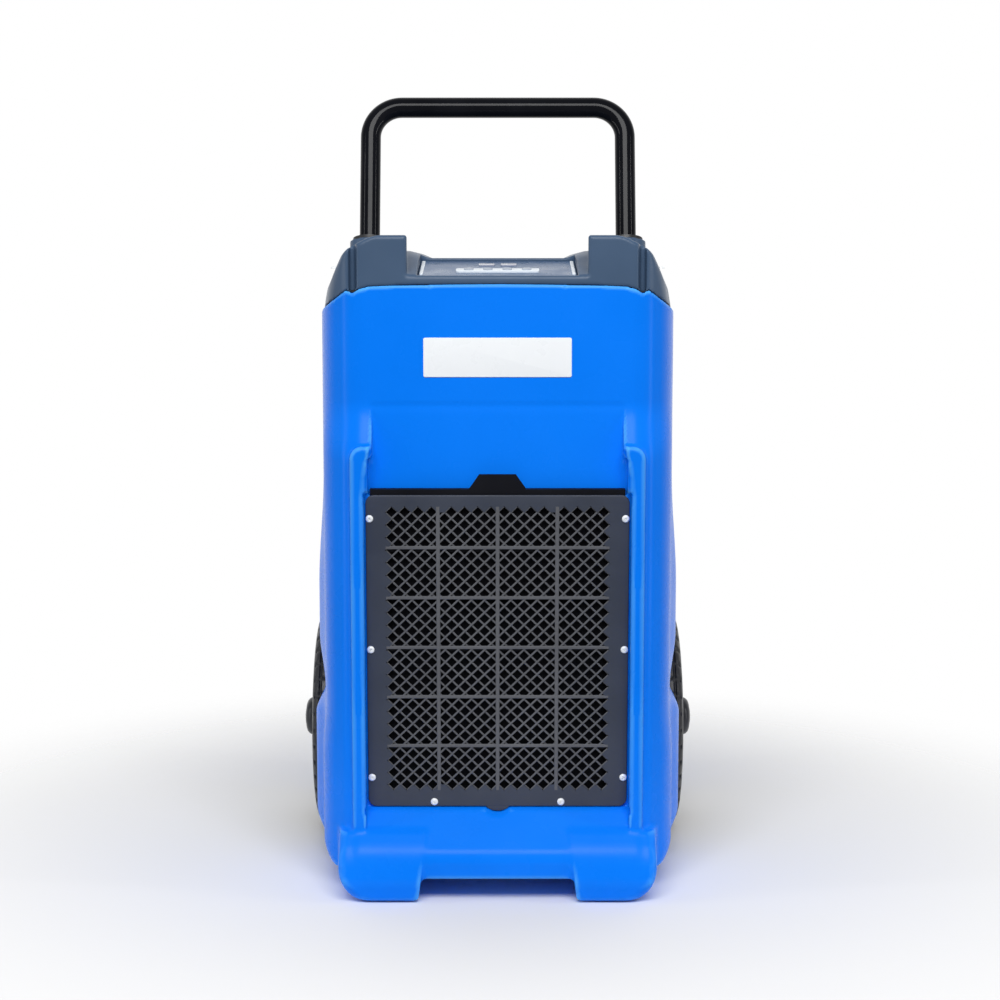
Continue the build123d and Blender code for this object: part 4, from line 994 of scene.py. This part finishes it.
RIM_PROFILE = [
    (209, 12.6), (253, 12.6), (253, 25.4), (252, 26.4), (238, 28), (235, 31), (233, 38), (232, 86), (234, 92),
    (243, 95.5), (246, 97), (247.3, 99), (247.3, 104.5), (246, 106.5), (243.5, 106.5), (241.5, 103.8),
    (216, 103.8), (214, 106.5), (211.5, 106.5), (210, 104.5), (210, 99), (211.5, 97), (222, 93), (224, 86),
    (223, 38), (221, 33), (219, 30), (210, 28.5), (209, 27),
]
CAP_PROFILE = [
    (253.2, 20), (253.2, 26.6), (256, 27.2), (261, 26.6), (265, 25), (268, 22), (269.6, 17.6), (270.1, 13),
    (270.6, 11.8), (271, 10), (271, 0.02), (268.5, 0.02), (268.5, 14), (263, 20),
]
RIM_RIBS, RIB_T, RIB_ROOT_X = 10, 2.4, 231


def rim_ribs(side):
    """Thin radial ribs that stiffen the wheel's web on its outer face."""
    ribs = []
    for n in range(RIM_RIBS):
        a = 2 * pi * (n + 0.5) / RIM_RIBS
        verts = []
        for r, depth in ((28, 9), (60, 5), (95, 8)):
            tip = RIB_ROOT_X + depth
            for x, t in ((RIB_ROOT_X, RIB_T), (tip, RIB_T * 0.7), (tip, -RIB_T * 0.7), (RIB_ROOT_X, -RIB_T)):
                verts.append((side * x, WHEEL_Y + r * cos(a) - t * sin(a), WHEEL_Z + r * sin(a) + t * cos(a)))
        faces = ring_faces(3, 4) + [(3, 2, 1, 0), (8, 9, 10, 11)]
        ribs.append((verts, faces if side < 0 else [face[::-1] for face in faces]))
    return ribs


def build_wheels():
    segments = 320
    for name, side in (("left", -1), ("right", 1)):
        body = f"wheel_{name}"
        verts, faces = lathe(tyre_profile(), segments, side, tread)
        add_mesh(f"tyre_tread_{name}", verts, faces, "tyre_rubber", body, replaces=[f"tyre_{name}"], sharp=40)
        verts, faces = merged([lathe(RIM_PROFILE, 96, side)] + rim_ribs(side))
        add_mesh(f"rim_ribbed_{name}", verts, faces, "rim_black", body, replaces=[f"rim_{name}"], sharp=35)
        verts, faces = lathe(CAP_PROFILE, 72, side)
        add_mesh(f"hub_dome_{name}", verts, faces, "rim_black", body, replaces=[f"hub_cap_{name}"], sharp=40)


build_wheels()

# ---------------------------------------------------------------- stage and camera
CAMERA = (0.003, -2.6411, 0.7715)


def build_stage():
    """A pale floor that melts into the white surroundings away from the machine."""
    floor = bpy.data.meshes.new("floor")
    floor.from_pydata([(-4, -4, 0), (4, -4, 0), (4, 4, 0), (-4, 4, 0)], [], [(0, 1, 2, 3)])
    ground = bpy.data.objects.new("floor", floor)
    bpy.context.scene.collection.objects.link(ground)
    material, nodes, links, shader = new_material("pale_floor")
    shader.inputs["Base Color"].default_value = (0.92, 0.92, 0.92, 1)
    shader.inputs["Roughness"].default_value = 0.8
    place = nodes.new("ShaderNodeTexCoord")
    reach = nodes.new("ShaderNodeVectorMath")
    reach.operation = "LENGTH"
    links.new(place.outputs["Object"], reach.inputs[0])
    fade = nodes.new("ShaderNodeMapRange")
    fade.interpolation_type = "SMOOTHSTEP"
    fade.inputs["From Min"].default_value = 0.4
    fade.inputs["From Max"].default_value = 1.1
    links.new(reach.outputs["Value"], fade.inputs["Value"])
    clear = nodes.new("ShaderNodeBsdfTransparent")
    blend = nodes.new("ShaderNodeMixShader")
    links.new(fade.outputs["Result"], blend.inputs["Fac"])
    links.new(shader.outputs["BSDF"], blend.inputs[1])
    links.new(clear.outputs["BSDF"], blend.inputs[2])
    links.new(blend.outputs["Shader"], nodes["Material Output"].inputs["Surface"])
    floor.materials.append(material)


def add_light(name, place, target, size, power, size_y=None):
    data = bpy.data.lights.new(name, "AREA")
    data.shape = "RECTANGLE"
    data.size = size
    data.size_y = size_y or size
    data.energy = power
    lamp = bpy.data.objects.new(name, data)
    lamp.location = place
    aim = Vector(target) - Vector(place)
    lamp.rotation_euler = aim.to_track_quat("-Z", "Y").to_euler()
    bpy.context.scene.collection.objects.link(lamp)


def build_lights():
    """White surroundings, brightest behind the machine, and one soft key above its front."""
    world = bpy.data.worlds.new("studio")
    bpy.context.scene.world = world
    world.use_nodes = True
    nodes, links = world.node_tree.nodes, world.node_tree.links
    place = nodes.new("ShaderNodeTexCoord")
    parts = nodes.new("ShaderNodeSeparateXYZ")
    shade = nodes.new("ShaderNodeMapRange")
    shade.interpolation_type = "SMOOTHSTEP"
    shade.inputs["From Min"].default_value = 0.0
    shade.inputs["From Max"].default_value = 0.9
    shade.inputs["To Min"].default_value = 0.22
    shade.inputs["To Max"].default_value = 1.0
    links.new(place.outputs["Generated"], parts.inputs["Vector"])
    links.new(parts.outputs["Y"], shade.inputs["Value"])
    links.new(shade.outputs["Result"], nodes["Background"].inputs["Strength"])
    nodes["Background"].inputs["Color"].default_value = (1, 1, 1, 1)
    middle = (0, 0, 0.5)
    add_light("key", (0, -2.3, 2.5), middle, 2.4, 78, 1.2)
    add_light("strip_left", (-2.4, -0.7, 0.9), middle, 0.14, 10, 2.2)
    add_light("strip_right", (2.4, -0.7, 0.9), middle, 0.14, 10, 2.2)


def build_camera():
    data = bpy.data.cameras.new("camera")
    data.lens = 71.52
    data.sensor_width = 36
    camera = bpy.data.objects.new("camera", data)
    camera.location = CAMERA
    camera.rotation_euler = (radians(83.5), 0, 0)
    bpy.context.scene.collection.objects.link(camera)
    bpy.context.scene.camera = camera


bpy.context.scene.view_settings.view_transform = "Standard"
build_stage()
build_lights()
build_camera()


def corners(bounds):
    return [list(map(float, corner)) for corner in bounds]
